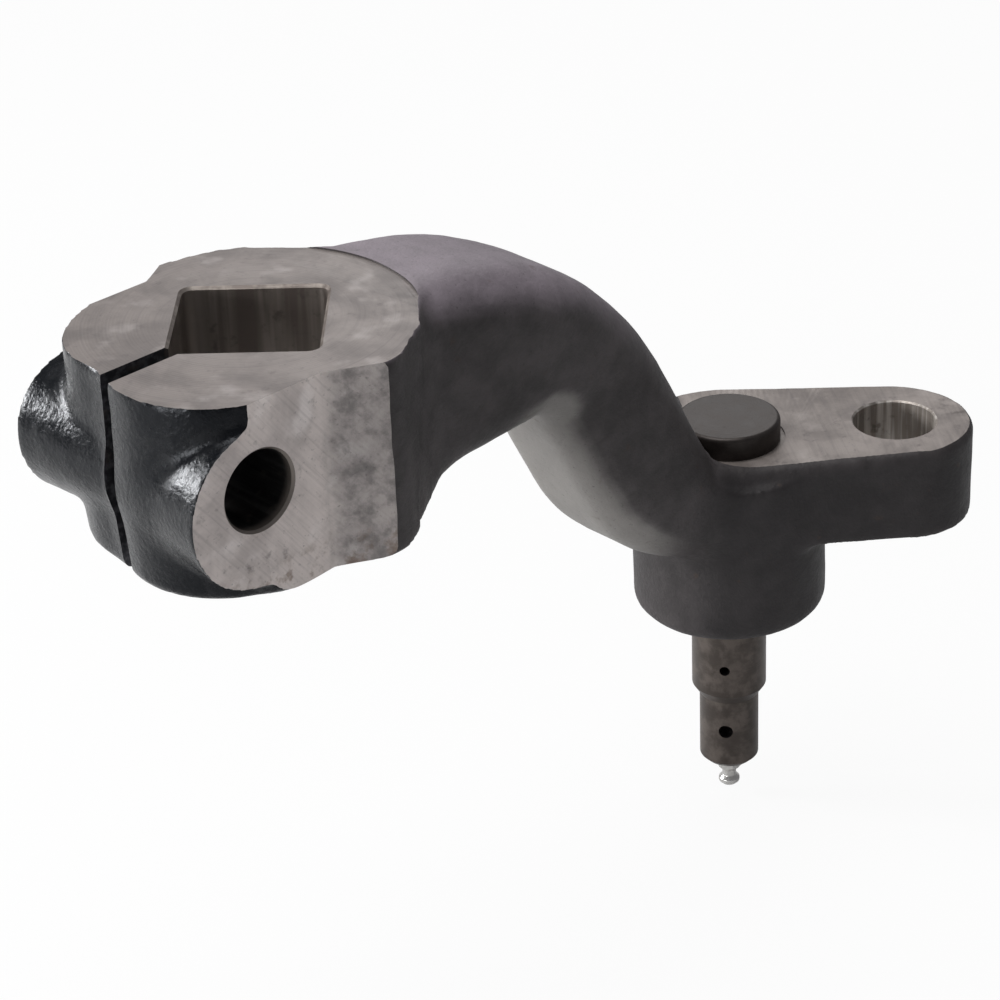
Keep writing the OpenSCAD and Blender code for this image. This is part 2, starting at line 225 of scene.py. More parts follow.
class DistanceGrid:
    """A box of sample points that closed forms are written into as distances."""

    def __init__(self, low: Point, high: Point, step: float) -> None:
        """Args: low and high are the box's corners, step the distance between samples."""
        self.low = np.array(low, dtype=np.float32)
        self.step = step
        self.axes = [np.arange(a, b + step, step, dtype=np.float32) for a, b in zip(low, high)]
        self.x = self.axes[0][:, None, None]
        self.y = self.axes[1][None, :, None]
        self.z = self.axes[2][None, None, :]

    def surface(self, values: np.ndarray) -> tuple[np.ndarray, np.ndarray]:
        """Finds the surface where the distance is zero.

        Args:
            values: distances at the samples, negative inside.

        Returns:
            Points and four-cornered faces.
        """
        shape = np.array(values.shape)
        inside = values < 0
        total = np.zeros(shape - 1, dtype=np.int8)
        corners = [(i, j, k) for i in (0, 1) for j in (0, 1) for k in (0, 1)]
        for i, j, k in corners:
            total += inside[i:shape[0] - 1 + i, j:shape[1] - 1 + j, k:shape[2] - 1 + k]
        cells = np.argwhere((total > 0) & (total < 8))
        place = np.zeros((len(cells), 3))
        count = np.zeros(len(cells))
        for axis in range(3):
            unit = np.eye(3, dtype=int)[axis]
            for corner in corners:
                if corner[axis]:
                    continue
                a = cells + np.array(corner)
                b = a + unit
                va = values[a[:, 0], a[:, 1], a[:, 2]].astype(float)
                vb = values[b[:, 0], b[:, 1], b[:, 2]].astype(float)
                crossing = (va < 0) != (vb < 0)
                t = np.where(crossing, va / np.where(crossing, va - vb, 1), 0)
                place += crossing[:, None] * (a + t[:, None] * unit)
                count += crossing
        verts = place / count[:, None] * self.step + self.low
        index = np.full(shape - 1, -1, dtype=np.int64)
        index[cells[:, 0], cells[:, 1], cells[:, 2]] = np.arange(len(cells))
        quads = []
        for axis in range(3):
            u, v = (axis + 1) % 3, (axis + 2) % 3
            low = np.take(inside, range(shape[axis] - 1), axis)
            high = np.take(inside, range(1, shape[axis]), axis)
            for first, second, flip in ((low, high, False), (high, low, True)):
                edges = np.argwhere(first & ~second)
                edges = edges[(edges[:, u] > 0) & (edges[:, v] > 0)]
                du, dv = np.eye(3, dtype=int)[u], np.eye(3, dtype=int)[v]
                loop = [edges - du - dv, edges - dv, edges, edges - du]
                if flip:
                    loop = loop[::-1]
                quads.append(np.stack([index[c[:, 0], c[:, 1], c[:, 2]] for c in loop], axis=1))
        return verts, np.concatenate(quads)


def joined(a: np.ndarray, b: np.ndarray, r: float) -> np.ndarray:
    """Joins two forms with a fillet.

    Args:
        a: distances to the first form.
        b: distances to the second form.
        r: the fillet's radius.

    Returns:
        Distances to both together.
    """
    u, v = np.maximum(r - a, 0), np.maximum(r - b, 0)
    return np.maximum(r, np.minimum(a, b)) - np.sqrt(u * u + v * v)


def limited(a: np.ndarray, b: np.ndarray, r: float | np.ndarray) -> np.ndarray:
    """Keeps what two forms share, with a rounded edge.

    Args:
        a: distances to the first form.
        b: distances to the second form.
        r: the edge's radius.

    Returns:
        Distances to the shared form.
    """
    u, v = np.maximum(r + a, 0), np.maximum(r + b, 0)
    return np.minimum(-r, np.maximum(a, b)) + np.sqrt(u * u + v * v)


def lumps(grid: DistanceGrid, size: float, seed: int) -> np.ndarray:
    """Smooth random lumps over a grid.

    Args:
        grid: the samples.
        size: distance between lumps.
        seed: random seed.

    Returns:
        Values from -1 to 1 at the samples.
    """
    counts = [int((axis[-1] - axis[0]) / size) + 3 for axis in grid.axes]
    lattice = np.random.RandomState(seed).uniform(-1, 1, counts).astype(np.float32)
    for axis, samples in enumerate(grid.axes):
        at = (samples - samples[0]) / size
        cell = at.astype(int)
        t = at - cell
        t = t * t * (3 - 2 * t)
        t = t.reshape([-1 if i == axis else 1 for i in range(3)])
        lattice = np.take(lattice, cell, axis) * (1 - t) + np.take(lattice, cell + 1, axis) * t
    return lattice


# Shader trees


class Socket:
    """A node socket that Python operators can be used on."""

    def __init__(self, tree: "ShaderTree", link: bpy.types.NodeSocket) -> None:
        """Args: tree holds the socket's node, link is the output socket."""
        self.tree = tree
        self.link = link

    def _math(self, operation: str, *values: "Socket | float") -> "Socket":
        """Adds one Math node for an operation on values."""
        return self.tree.node("ShaderNodeMath", {"operation": operation}, dict(enumerate(values)))

    def __add__(self, other: "Socket | float") -> "Socket":
        """Sum."""
        return self._math("ADD", self, other)

    def __radd__(self, other: "Socket | float") -> "Socket":
        """Sum with a number on the left."""
        return self._math("ADD", other, self)

    def __sub__(self, other: "Socket | float") -> "Socket":
        """Difference."""
        return self._math("SUBTRACT", self, other)

    def __rsub__(self, other: "Socket | float") -> "Socket":
        """Difference with a number on the left."""
        return self._math("SUBTRACT", other, self)

    def __mul__(self, other: "Socket | float") -> "Socket":
        """Product."""
        return self._math("MULTIPLY", self, other)

    def __rmul__(self, other: "Socket | float") -> "Socket":
        """Product with a number on the left."""
        return self._math("MULTIPLY", other, self)

    def __truediv__(self, other: "Socket | float") -> "Socket":
        """Quotient."""
        return self._math("DIVIDE", self, other)

    def __rtruediv__(self, other: "Socket | float") -> "Socket":
        """Quotient with a number on the left."""
        return self._math("DIVIDE", other, self)

    def __pow__(self, other: "Socket | float") -> "Socket":
        """Power."""
        return self._math("POWER", self, other)

    def __neg__(self) -> "Socket":
        """Negative."""
        return self._math("MULTIPLY", self, -1.0)

    def sqrt(self) -> "Socket":
        """Square root."""
        return self._math("SQRT", self)

    def sine(self) -> "Socket":
        """Sine."""
        return self._math("SINE", self)

    def absolute(self) -> "Socket":
        """Size without its sign."""
        return self._math("ABSOLUTE", self)

    def clipped(self) -> "Socket":
        """The value held between 0 and 1."""
        return self.step(0.0, 1.0, smooth=False)

    def step(self, low: float, high: float, smooth: bool = True) -> "Socket":
        """Rises from 0 to 1 as the value goes from low to high.

        Args:
            low: value that gives 0.
            high: value that gives 1.
            smooth: whether the rise is eased.

        Returns:
            The risen value.
        """
        settings = {"interpolation_type": "SMOOTHSTEP" if smooth else "LINEAR", "clamp": True}
        if low > high:
            return 1.0 - self.step(high, low, smooth)
        return self.tree.node("ShaderNodeMapRange", settings, {0: self, 1: low, 2: high, 3: 0.0, 4: 1.0})


Value = Socket | float
Colour = tuple[float, float, float]


class ShaderTree:
    """One material's nodes, with its coordinates in millimetres."""

    def __init__(self, name: str) -> None:
        """Args: name is the material's name."""
        self.material = bpy.data.materials.new(name)
        self.material.use_nodes = True
        self.tree = self.material.node_tree
        self.shader = self.tree.nodes["Principled BSDF"]
        coordinates = self.tree.nodes.new("ShaderNodeTexCoord")
        scale = self.node("ShaderNodeVectorMath", {"operation": "SCALE"},
                          {0: Socket(self, coordinates.outputs["Object"]), "Scale": 1 / MM})
        self.place = scale
        parts = self.node("ShaderNodeSeparateXYZ", {}, {0: scale}).link.node
        self.x, self.y, self.z = (Socket(self, s) for s in parts.outputs)

    def node(self, kind: str, settings: dict[str, object], inputs: dict[int | str, object],
             output: int | str = 0) -> Socket:
        """Adds a node.

        Args:
            kind: the node's type.
            settings: its properties, set first; "stops" fills a colour ramp.
            inputs: values or sockets by the input's index or name.
            output: which output to return.

        Returns:
            The output socket.
        """
        node = self.tree.nodes.new(kind)
        for key, value in settings.items():
            if key == "stops":
                ramp = node.color_ramp
                while len(ramp.elements) < len(value):
                    ramp.elements.new(0.5)
                for element, (at, colour) in zip(ramp.elements, value):
                    element.position = at
                    element.color = (*colour, 1.0)
            else:
                setattr(node, key, value)
        for key, value in inputs.items():
            if isinstance(value, Socket):
                self.tree.links.new(value.link, node.inputs[key])
            else:
                node.inputs[key].default_value = value
        return Socket(self, node.outputs[output])

    def moved(self, scale: Point = (1, 1, 1), turn: Point = (0, 0, 0), shift: Point = (0, 0, 0)) -> Socket:
        """The coordinates turned, scaled and shifted.

        Args:
            scale: factors along the turned axes.
            turn: rotation in degrees.
            shift: shift in millimetres.

        Returns:
            A vector.
        """
        centred = self.node("ShaderNodeVectorMath", {"operation": "ADD"}, {0: self.place, 1: shift})
        turned = self.node("ShaderNodeMapping", {"vector_type": "POINT"},
                           {0: centred, "Rotation": tuple(math.radians(t) for t in turn)})
        return self.node("ShaderNodeVectorMath", {"operation": "MULTIPLY"}, {0: turned, 1: scale})

    def noise(self, size: float, detail: float = 4.0, roughness: float = 0.55, where: Socket | None = None,
              distortion: float = 0.0) -> Socket:
        """Noise from 0 to 1.

        Args:
            size: size of its largest features in millimetres.
            detail: number of finer layers.
            roughness: strength of the finer layers.
            where: coordinates, if not the plain ones.
            distortion: how much the noise bends.

        Returns:
            The noise's value.
        """
        return self.node("ShaderNodeTexNoise", {}, {
            "Vector": where or self.place, "Scale": 1 / size, "Detail": detail, "Roughness": roughness,
            "Distortion": distortion})

    def cells(self, size: float, where: Socket | None = None) -> Socket:
        """Distance to the nearest of random points.

        Args:
            size: distance between the points in millimetres.
            where: coordinates, if not the plain ones.

        Returns:
            The distance, as a share of the size.
        """
        return self.node("ShaderNodeTexVoronoi", {"feature": "F1"},
                         {"Vector": where or self.place, "Scale": 1 / size}, "Distance")

    def mix(self, factor: Value, a: Socket | Colour, b: Socket | Colour) -> Socket:
        """Mixes two colours.

        Args:
            factor: share of the second colour.
            a: first colour.
            b: second colour.

        Returns:
            The mixed colour.
        """
        four = [c if isinstance(c, Socket) else (*c, 1.0) for c in (a, b)]
        return self.node("ShaderNodeMix", {"data_type": "RGBA"}, {0: factor, 6: four[0], 7: four[1]}, 2)

    def finish(self, colour: Socket, roughness: Value, metallic: Value, height: Socket, depth: float,
               coat: Value = 0.0) -> bpy.types.Material:
        """Joins the finish to the shader.

        Args:
            colour: base colour.
            roughness: roughness.
            metallic: metallic share.
            height: bump height from 0 to 1.
            depth: what a height of 1 means in millimetres.
            coat: weight of the clear oily coat.

        Returns:
            The material.
        """
        bump = self.node("ShaderNodeBump", {}, {"Height": height, "Strength": 1.0, "Distance": depth * MM})
        for name, value in {"Base Color": colour, "Roughness": roughness, "Metallic": metallic,
                            "Normal": bump, "Coat Weight": coat}.items():
            if isinstance(value, Socket):
                self.tree.links.new(value.link, self.shader.inputs[name])
            else:
                self.shader.inputs[name].default_value = value
        self.shader.inputs["Coat Roughness"].default_value = 0.3
        return self.material


# Finishes


@dataclass(frozen=True)
class ForgedFinish:
    """Forging scale, plain on the neck and oily round the clamp's slit; painted light on the neck's upward faces and
    underside, painted shade at its foot.
    """

    name: str = "forged_scale"
    light: Colour = (0.080, 0.071, 0.072)
    dark: Colour = (0.036, 0.032, 0.032)
    # crown: painted top light, the lighter colour on the neck's upward faces
    crown: Colour = (0.230, 0.198, 0.222)
    oiled: Colour = (0.005, 0.006, 0.008)
    wet: Colour = (0.013, 0.014, 0.016)
    rust: Colour = (0.060, 0.036, 0.024)
    # under: painted reflection, a lighter colour standing in for the white floor's light on the limb's underside
    under: Colour = (0.235, 0.225, 0.212)
    top_light_to: float = 140.0
    gloss: float = 0.28
    oil_from: float = 14.0
    oil_to: float = -14.0

    def build(self) -> bpy.types.Material:
        """Returns: the material."""
        t = ShaderTree(self.name)
        broad = t.noise(34, 3)
        patch = t.noise(9, 5, 0.62, distortion=0.3)
        grain = t.noise(1.3, 4, 0.65)
        coarse = t.noise(2.6, 2, 0.5)
        oil = (t.x + (t.noise(14, 2) - 0.5) * 18).step(self.oil_from, self.oil_to)
        facing = t.node("ShaderNodeNewGeometry", {}, {}, "Normal")
        up = t.node("ShaderNodeSeparateXYZ", {}, {0: facing}, 2)
        scale = t.mix((patch * 0.5 + broad * 0.5).step(0.36, 0.66), self.dark, self.light)
        # painted top light: the neck's upward faces take the crown colour, fading out over the last 40 mm before its X
        # limit
        over = up.step(0.15, 0.75) * (0.8 + (patch - 0.5) * 0.8) * t.x.step(self.top_light_to, self.top_light_to - 40)
        scale = t.mix(over, scale, self.crown)
        # painted reflection of the floor: the limb's downward faces between x 62 and 144 are lighter
        underside_light = (-up).step(0.15, 0.42) * t.x.step(62, 84) * t.x.step(144, 124) * (0.75 + (broad - 0.5) * 0.8)
        scale = t.mix(underside_light, scale, self.under)
        # painted shade: the neck's foot is darkened where it meets the pad, x 140 to 158 and z -98 to -108, and keeps
        # no light specks
        foot_shade = t.z.step(-98, -108) * t.x.step(140, 158) * 0.65
        scale = t.mix(foot_shade, scale, (0.012, 0.011, 0.012))
        scale = t.mix(grain.step(0.60, 0.78) * 0.25 * (1.0 - foot_shade), scale, (0.13, 0.118, 0.114))
        scale = t.mix(grain.step(0.40, 0.28) * 0.55, scale, (0.022, 0.020, 0.020))
        stains = t.noise(7, 4, 0.6).step(0.64, 0.76) * (1.0 - oil) * 0.35
        scale = t.mix(stains, scale, self.rust)
        oily = t.mix(patch.step(0.45, 0.68), self.oiled, self.wet)
        colour = t.mix(oil, scale, oily)
        rough = 0.55 + (patch - 0.5) * 0.25 + (grain - 0.5) * 0.2 - oil * 0.29
        height = patch * (0.5 - oil * 0.3) + grain * 0.3 + coarse * 0.3
        t.shader.inputs["Specular IOR Level"].default_value = self.gloss
        return t.finish(colour, rough.clipped(), 0.10 + oil * 0.4, height, 0.42)


@dataclass(frozen=True)
class FacedFinish:
    """A face that a cutter left bright: arcs or straight strokes, stained and mottled, with painted shade on the cut
    faces that do not face up.
    """

    name: str
    base: Colour = (0.195, 0.170, 0.158)
    worn: Colour = (0.140, 0.122, 0.115)
    pale: Colour = (0.290, 0.262, 0.250)
    stain: Colour = (0.075, 0.066, 0.070)
    rust: Colour = (0.130, 0.070, 0.035)
    centre: Point = (0, 0, 0)
    turn: Point = (0, 0, 0)
    arcs: bool = True
    pitch: float = 0.55
    stroke: float = 0.12
    stain_share: float = 0.35
    rough: float = 0.46
    metal: float = 0.35
    # wall: share of painted shade on the cut faces that do not face up
    wall: float = 0.0
    mottled_from: float = 900.0
    rust_below: float = -900.0

    def build(self) -> bpy.types.Material:
        """Returns: the material."""
        t = ShaderTree(self.name)
        place = t.moved(turn=self.turn, shift=tuple(-c for c in self.centre))
        x, y, z = (t.node("ShaderNodeSeparateXYZ", {}, {0: place}, i) for i in range(3))
        wobble = (t.noise(7, 2) - 0.5) * 0.5
        along = (x * x + y * y).sqrt() if self.arcs else x
        marks = ((along + wobble) * (2 * math.pi / self.pitch)).sine() * 0.5 + 0.5
        drawn = t.node("ShaderNodeCombineXYZ", {}, {0: along * (1 / self.pitch), 1: y * 0.03, 2: z * 0.03})
        lines = t.node("ShaderNodeTexNoise", {}, {"Vector": drawn, "Scale": 1.0, "Detail": 3.0, "Roughness": 0.7})
        cloud = t.noise(16, 4, 0.6, distortion=0.4)
        blotch = t.noise(5, 5, 0.65)
        grain = t.noise(1.2, 3, 0.6)
        colour = t.mix(cloud.step(0.38, 0.66), self.base, self.worn)
        colour = t.mix(t.noise(11, 3, 0.5).step(0.55, 0.72) * 0.7, colour, self.pale)
        colour = t.mix(lines.step(0.45, 0.75) * self.stroke * 2, colour, self.stain)
        stains = blotch.step(0.58, 0.74) * self.stain_share
        colour = t.mix(stains, colour, self.stain)
        mottled = t.x.step(self.mottled_from - 2, self.mottled_from + 4)
        colour = t.mix(mottled * 0.65, colour, (0.25, 0.230, 0.224))
        colour = t.mix(mottled * t.noise(5.0, 4, 0.6).step(0.38, 0.66) * 0.65, colour, (0.120, 0.112, 0.110))
        rusty = t.z.step(self.rust_below + 6, self.rust_below - 4) * t.noise(6, 4, 0.65).step(0.50, 0.66)
        colour = t.mix(rusty * 0.6, colour, self.rust)
        colour = t.mix(grain.step(0.40, 0.25) * 0.4, colour, self.stain)
        # painted shade: cut faces turned away from up are darkened
        if self.wall:
            facing = t.node("ShaderNodeNewGeometry", {}, {}, "Normal")
            up = t.node("ShaderNodeSeparateXYZ", {}, {0: facing}, 2)
            colour = t.mix(up.step(0.8, 0.4) * self.wall, colour, (0.045, 0.040, 0.042))
        rough = self.rough + (cloud - 0.5) * 0.25 + stains * 0.3 + (lines - 0.5) * 0.1 + mottled * 0.08
        height = marks * self.stroke + lines * self.stroke * 2 + blotch * 0.1 + grain * (0.25 + mottled * 0.8)
        return t.finish(colour, rough.clipped(), self.metal, height, 0.10)


@dataclass(frozen=True)
class BoredFinish:
    """A hole's wall with marks round its axis and streaks along it."""

    name: str
    base: Colour = (0.30, 0.27, 0.245)
    streak: Colour = (0.55, 0.52, 0.49)
    mouth: Colour = (0.16, 0.14, 0.125)
    mouth_at: float = 900.0
    glint: Point = (900, 0, 0)
    axis: Point = (0, 0, 0)
    turn: Point = (0, 0, 0)
    streak_width: float = 2.2
    metal: float = 0.6

    def build(self) -> bpy.types.Material:
        """Returns: the material."""
        t = ShaderTree(self.name)
        place = t.moved(turn=self.turn, shift=tuple(-c for c in self.axis))
        x, y, z = (t.node("ShaderNodeSeparateXYZ", {}, {0: place}, i) for i in range(3))
        long = t.node("ShaderNodeCombineXYZ", {}, {0: x, 1: y, 2: z * 0.05})
        streaks = t.noise(self.streak_width, 3, 0.6, long)
        rings = t.node("ShaderNodeCombineXYZ", {}, {0: x * 0.05, 1: y * 0.05, 2: z})
        feed = t.noise(0.6, 2, 0.6, rings)
        colour = t.mix(streaks.step(0.42, 0.66), self.base, self.streak)
        colour = t.mix(t.noise(4, 4).step(0.56, 0.72) * 0.6, colour, (0.10, 0.085, 0.075))
        aside = ((t.x - self.glint[0]) ** 2.0 + (t.y - self.glint[1]) ** 2.0).sqrt()
        colour = t.mix(aside.step(4.5, 1.0) * 0.8, colour, self.streak)
        # the wall turns to the mouth colour within 4 mm of each mouth; the bolt bore's near-black base beyond it is
        # painted shade
        colour = t.mix(z.absolute().step(self.mouth_at - 4, self.mouth_at - 1), colour, self.mouth)
        return t.finish(colour, 0.38 + (streaks - 0.5) * 0.3, self.metal, feed * 0.5 + streaks * 0.3, 0.08)


@dataclass(frozen=True)
class TurnedFinish:
    """Turned steel with fine marks round the Z axis."""

    name: str
    base: Colour
    worn: Colour
    axis: Point
    feed: float = 0.45
    depth: float = 0.05
    rough: float = 0.42
    metal: float = 0.6
    grime: float = 0.5
    dull_above: float = 900.0

    def build(self) -> bpy.types.Material:
        """Returns: the material."""
        t = ShaderTree(self.name)
        place = t.moved(shift=tuple(-c for c in self.axis))
        x, y, z = (t.node("ShaderNodeSeparateXYZ", {}, {0: place}, i) for i in range(3))
        along = z + (x * x + y * y).sqrt()
        rings = t.node("ShaderNodeCombineXYZ", {}, {0: along * (1 / self.feed), 1: x * 0.02, 2: y * 0.02})
        marks = t.node("ShaderNodeTexNoise", {}, {"Vector": rings, "Scale": 1.0, "Detail": 2.0, "Roughness": 0.6})
        patch = t.noise(6, 5, 0.62)
        speck = t.noise(0.9, 3, 0.6).step(0.60, 0.74)
        colour = t.mix(patch.step(0.38, 0.66), self.base, self.worn)
        colour = t.mix(marks.step(0.5, 0.8) * 0.25, colour, self.worn)
        colour = t.mix(speck * self.grime * 0.6, colour, (0.06, 0.05, 0.045))
        colour = t.mix(t.z.step(self.dull_above - 1, self.dull_above + 1) * 0.75, colour, (0.02, 0.016, 0.015))
        rough = self.rough + (patch - 0.5) * 0.3 + speck * 0.1
        return t.finish(colour, rough.clipped(), self.metal, marks * 0.6 + patch * 0.5 - speck * 0.3, self.depth)


# The arm


class Side(Enum):
    """The two sides of the slit, as the sign of Y."""

    NEAR = -1
    FAR = 1


@dataclass
class ForgedArm:
    """The forging: clamp, neck, pad and boss, with its machined faces. Sizes in millimetres."""

    socket_side: float = 38.1
    socket_corner: float = 3.0
    clamp_h: float = 55.0
    clamp_r: float = 43.0
    ear_back: float = 20.5
    ear_side: float = 11.0
    ear_r: dict[Side, float] = field(default_factory=lambda: {Side.NEAR: 28.4, Side.FAR: 24.4})
    ear_taper: float = 2.2
    ear_taper_h: float = 23.0
    slit_w: float = 5.2
    bolt_r: float = 10.7
    bolt_back: float = 29.8
    bolt_down: float = 24.3
    seat_off: float = 37.0
    boss_mid: float = 29.0
    bolt_boss_r: dict[Side, float] = field(default_factory=lambda: {Side.NEAR: 22.0, Side.FAR: 19.5})
    slit_boss_r: float = 17.5
    near_flat_end: float = 8.0
    near_seat_slope: float = 28.0
    knuckle_out: float = 7.5
    knuckle_side: float = 33.0
    knuckle_r: float = 12.0
    far_cutter_r: float = 46.0
    far_cutter_down: float = 38.0
    far_cutter_flare: float = 8.0
    face_over: float = 1.0
    lip_x: float = -2.0
    root_out: float = 27.0
    root_rise: float = 3.0
    root_low: float = 61.0
    root_low_x: float = 15.0
    root_w: float = 73.0
    crest_w: float = 52.0
    limb_w: float = 40.0
    crest_top: float = -1.0
    crest_low: float = 54.5
    limb_x: float = 106.3
    limb_angle: float = 62.0
    limb_t: float = 43.0
    crest_top_r: float = 118.0
    crest_low_r: float = 15.0
    foot_top_r: float = 16.0
    foot_low_r: float = 64.0
    root_edge_r: float = 7.0
    upper_edge_r: float = 15.0
    lower_edge_r: float = 12.5
    foot_edge_r: float = 13.0
    foot_skin: float = 0.7
    pin_x: float = 178.8
    pad_down: float = 103.4
    pad_t: float = 27.5
    hole_out: float = 51.2
    pad_turn: float = -35.3
    hole_r: float = 12.45
    pad_end_r: float = 23.6
    pad_pin_r: float = 28.7
    pad_pin_off: float = 3.8
    pad_sag: float = 3.0
    boss_r: float = 29.4
    boss_down: float = 56.0
    boss_edge: float = 5.0
    pin_r: float = 11.55
    press_r: float = 11.8
    head_spot_r: float = 17.05
    head_seat_down: float = 0.4
    grid_step: float = 1.3

    @property
    def hole_at(self) -> tuple[float, float]:
        """The tie rod hole's place from above."""
        a = math.radians(self.pad_turn)
        return self.pin_x + self.hole_out * math.cos(a), self.hole_out * math.sin(a)

    def neck_lines(self) -> tuple[np.ndarray, np.ndarray, np.ndarray]:
        """Samples the neck's profile.

        Returns:
            Points of the upper line, points of the lower line, and for each pair the width,
            the upper and the lower edge radius.
        """
        slope = math.radians(self.limb_angle)
        half = math.tan(slope / 2)
        lean = 1 / math.tan(slope)
        foot_top, foot_low = self.foot_skin - self.pad_down, self.foot_skin - self.pad_down - self.pad_t
        low_x = self.limb_x - self.limb_t / math.sin(slope)
        corner_top = np.array([self.limb_x, -self.crest_top])
        corner_low = np.array([low_x + (self.crest_low - self.crest_top) * lean, -self.crest_low])
        foot_a = np.array([self.limb_x - (self.crest_top + foot_top) * lean, foot_top])
        foot_b = np.array([low_x - (self.crest_top + foot_low) * lean, foot_low])
        fall = np.array([math.cos(slope), -math.sin(slope)])

        def ease(a: float, b: float, t: float) -> float:
            """Goes smoothly from a to b."""
            return a + (b - a) * (1 - math.cos(math.pi * t)) / 2

        def arc(corner: np.ndarray, r: float, start: float, stop: float, t: float) -> np.ndarray:
            """A point on the bend at a corner."""
            sign = 1 if stop > start else -1
            angle = start + (stop - start) * t
            first = corner - r * half * np.array([math.cos(start), -math.sin(start)])
            return first + sign * r * np.array([math.sin(angle) - math.sin(start), math.cos(angle) - math.cos(start)])

        rows = [(np.array([x, self.root_rise]), np.array([x, z]), self.root_w, self.root_edge_r, self.root_edge_r)
                for x, z in ((self.lip_x, 1 - self.clamp_h), (self.root_low_x, -self.root_low))]
        for t in np.linspace(0, 1, 16):
            rows.append((np.array([self.root_out + (corner_top[0] - self.crest_top_r * half - self.root_out) * t,
                                   ease(self.root_rise, -self.crest_top, t)]),
                         np.array([self.root_out + (corner_low[0] - self.crest_low_r * half - self.root_out) * t,
                                   -self.crest_low + (self.crest_low - self.root_low) * (1 - t) ** 3]),
                         self.crest_w + (self.root_w - self.crest_w) * (1 - t) ** 2,
                         ease(self.root_edge_r, self.upper_edge_r, t), ease(self.root_edge_r, self.lower_edge_r, t)))
        for t in np.linspace(0, 1, 24)[1:]:
            rows.append((arc(corner_top, self.crest_top_r, 0, slope, t), arc(corner_low, self.crest_low_r, 0, slope, t),
                         ease(self.crest_w, self.limb_w, t), self.upper_edge_r, self.lower_edge_r))
        starts = rows[-1][0], rows[-1][1]
        stops = foot_a - self.foot_top_r * half * fall, foot_b - self.foot_low_r * half * fall
        for t in np.linspace(0, 1, 8)[1:]:
            rows.append((starts[0] + (stops[0] - starts[0]) * t, starts[1] + (stops[1] - starts[1]) * t,
                         self.limb_w, self.upper_edge_r, self.lower_edge_r))
        for t in np.linspace(0, 1, 24)[1:]:
            rows.append((arc(foot_a, self.foot_top_r, slope, 0, t), arc(foot_b, self.foot_low_r, slope, 0, t),
                         self.limb_w, ease(self.upper_edge_r, self.foot_edge_r, t),
                         ease(self.lower_edge_r, self.foot_edge_r, t)))
        end = self.pin_x - self.pin_r / 2
        rows.append((np.array([end, foot_top]), np.array([end, foot_low]), self.limb_w, self.foot_edge_r, self.foot_edge_r))
        return np.array([r[0] for r in rows]), np.array([r[1] for r in rows]), np.array([r[2:] for r in rows])

    @staticmethod
    def line_distance(line: np.ndarray, x: np.ndarray, z: np.ndarray) -> tuple[np.ndarray, np.ndarray]:
        """Distance of samples to a line in the X-Z plane.

        Args:
            line: the line's points, from the clamp to the pad.
            x: sample positions along X, as a column.
            z: sample heights, as a row.

        Returns:
            Distances, positive above the line, and the place along the line's points.
        """
        best = np.full(np.broadcast_shapes(x.shape, z.shape), 1e9)
        signed = best.copy()
        place = np.zeros_like(best)
        for i in range(len(line) - 1):
            a, d = line[i], line[i + 1] - line[i]
            t = ((x - a[0]) * d[0] + (z - a[1]) * d[1]) / (d @ d)
            low = -1e9 if i == 0 else 0.0
            high = 1e9 if i == len(line) - 2 else 1.0
            t = np.clip(t, low, high)
            px, pz = x - a[0] - t * d[0], z - a[1] - t * d[1]
            distance = np.hypot(px, pz)
            nearer = distance < best
            side = np.sign(d[0] * (z - a[1]) - d[1] * (x - a[0]))
            best = np.where(nearer, distance, best)
            signed = np.where(nearer, distance * side, signed)
            place = np.where(nearer, i + np.clip(t, 0, 1), place)
        return signed, place

    def neck(self, grid: DistanceGrid) -> np.ndarray:
        """Returns: distances to the neck at the grid's samples."""
        upper, lower, rule = self.neck_lines()
        x, z = grid.axes[0][:, None], grid.axes[2][None, :]
        above, at_upper = self.line_distance(upper, x, z)
        over_low, at_lower = self.line_distance(lower, x, z)
        steps = np.arange(len(rule))
        middle = (at_upper + at_lower) / 2
        width = np.interp(middle, steps, rule[:, 0]).astype(np.float32)[:, None, :]
        upper_r = np.interp(middle, steps, rule[:, 1]).astype(np.float32)[:, None, :]
        lower_r = np.interp(middle, steps, rule[:, 2]).astype(np.float32)[:, None, :]
        side = np.abs(grid.y) - width / 2
        top = limited(above.astype(np.float32)[:, None, :], side, upper_r)
        low = limited(-over_low.astype(np.float32)[:, None, :], side, lower_r)
        ends = np.maximum(self.lip_x - grid.x, grid.x - (self.pin_x - self.pin_r / 2))
        return np.maximum(np.maximum(top, low), ends)

    def clamp(self, grid: DistanceGrid) -> np.ndarray:
        """Returns: distances to the clamp before it is machined."""
        floor = -self.clamp_h - grid.z
        over = grid.z - 1.0
        drum = np.sqrt(grid.x ** 2 + grid.y ** 2) - self.clamp_r
        knuckle = np.sqrt((grid.x - self.knuckle_out) ** 2 + (grid.y + self.knuckle_side) ** 2) - self.knuckle_r
        drum = joined(drum, knuckle, 3.0)
        body = np.maximum(limited(drum + 0 * grid.z, floor + 0 * drum, 1.6), over)
        taper = np.clip(1 - (grid.z + self.clamp_h) / self.ear_taper_h, 0, 1) * self.ear_taper
        for side in Side:
            ear = np.sqrt((grid.x + self.ear_back) ** 2 + (grid.y - side.value * self.ear_side) ** 2)
            ear = ear - (self.ear_r[side] - taper)
            body = joined(body, np.maximum(limited(ear, floor + 0 * ear, 2.0), over), 4.0)
        for side in Side:
            out = grid.y * side.value
            r = self.slit_boss_r + (self.bolt_boss_r[side] - self.slit_boss_r) * np.clip(out / (self.seat_off + 1), 0, 1)
            boss = np.sqrt((grid.x + self.bolt_back) ** 2 + (grid.z + self.boss_mid) ** 2) - r
            boss = np.maximum(boss, np.maximum(out - self.seat_off - 1, -out - 1))
            body = joined(body, boss, 2.2)
        return body

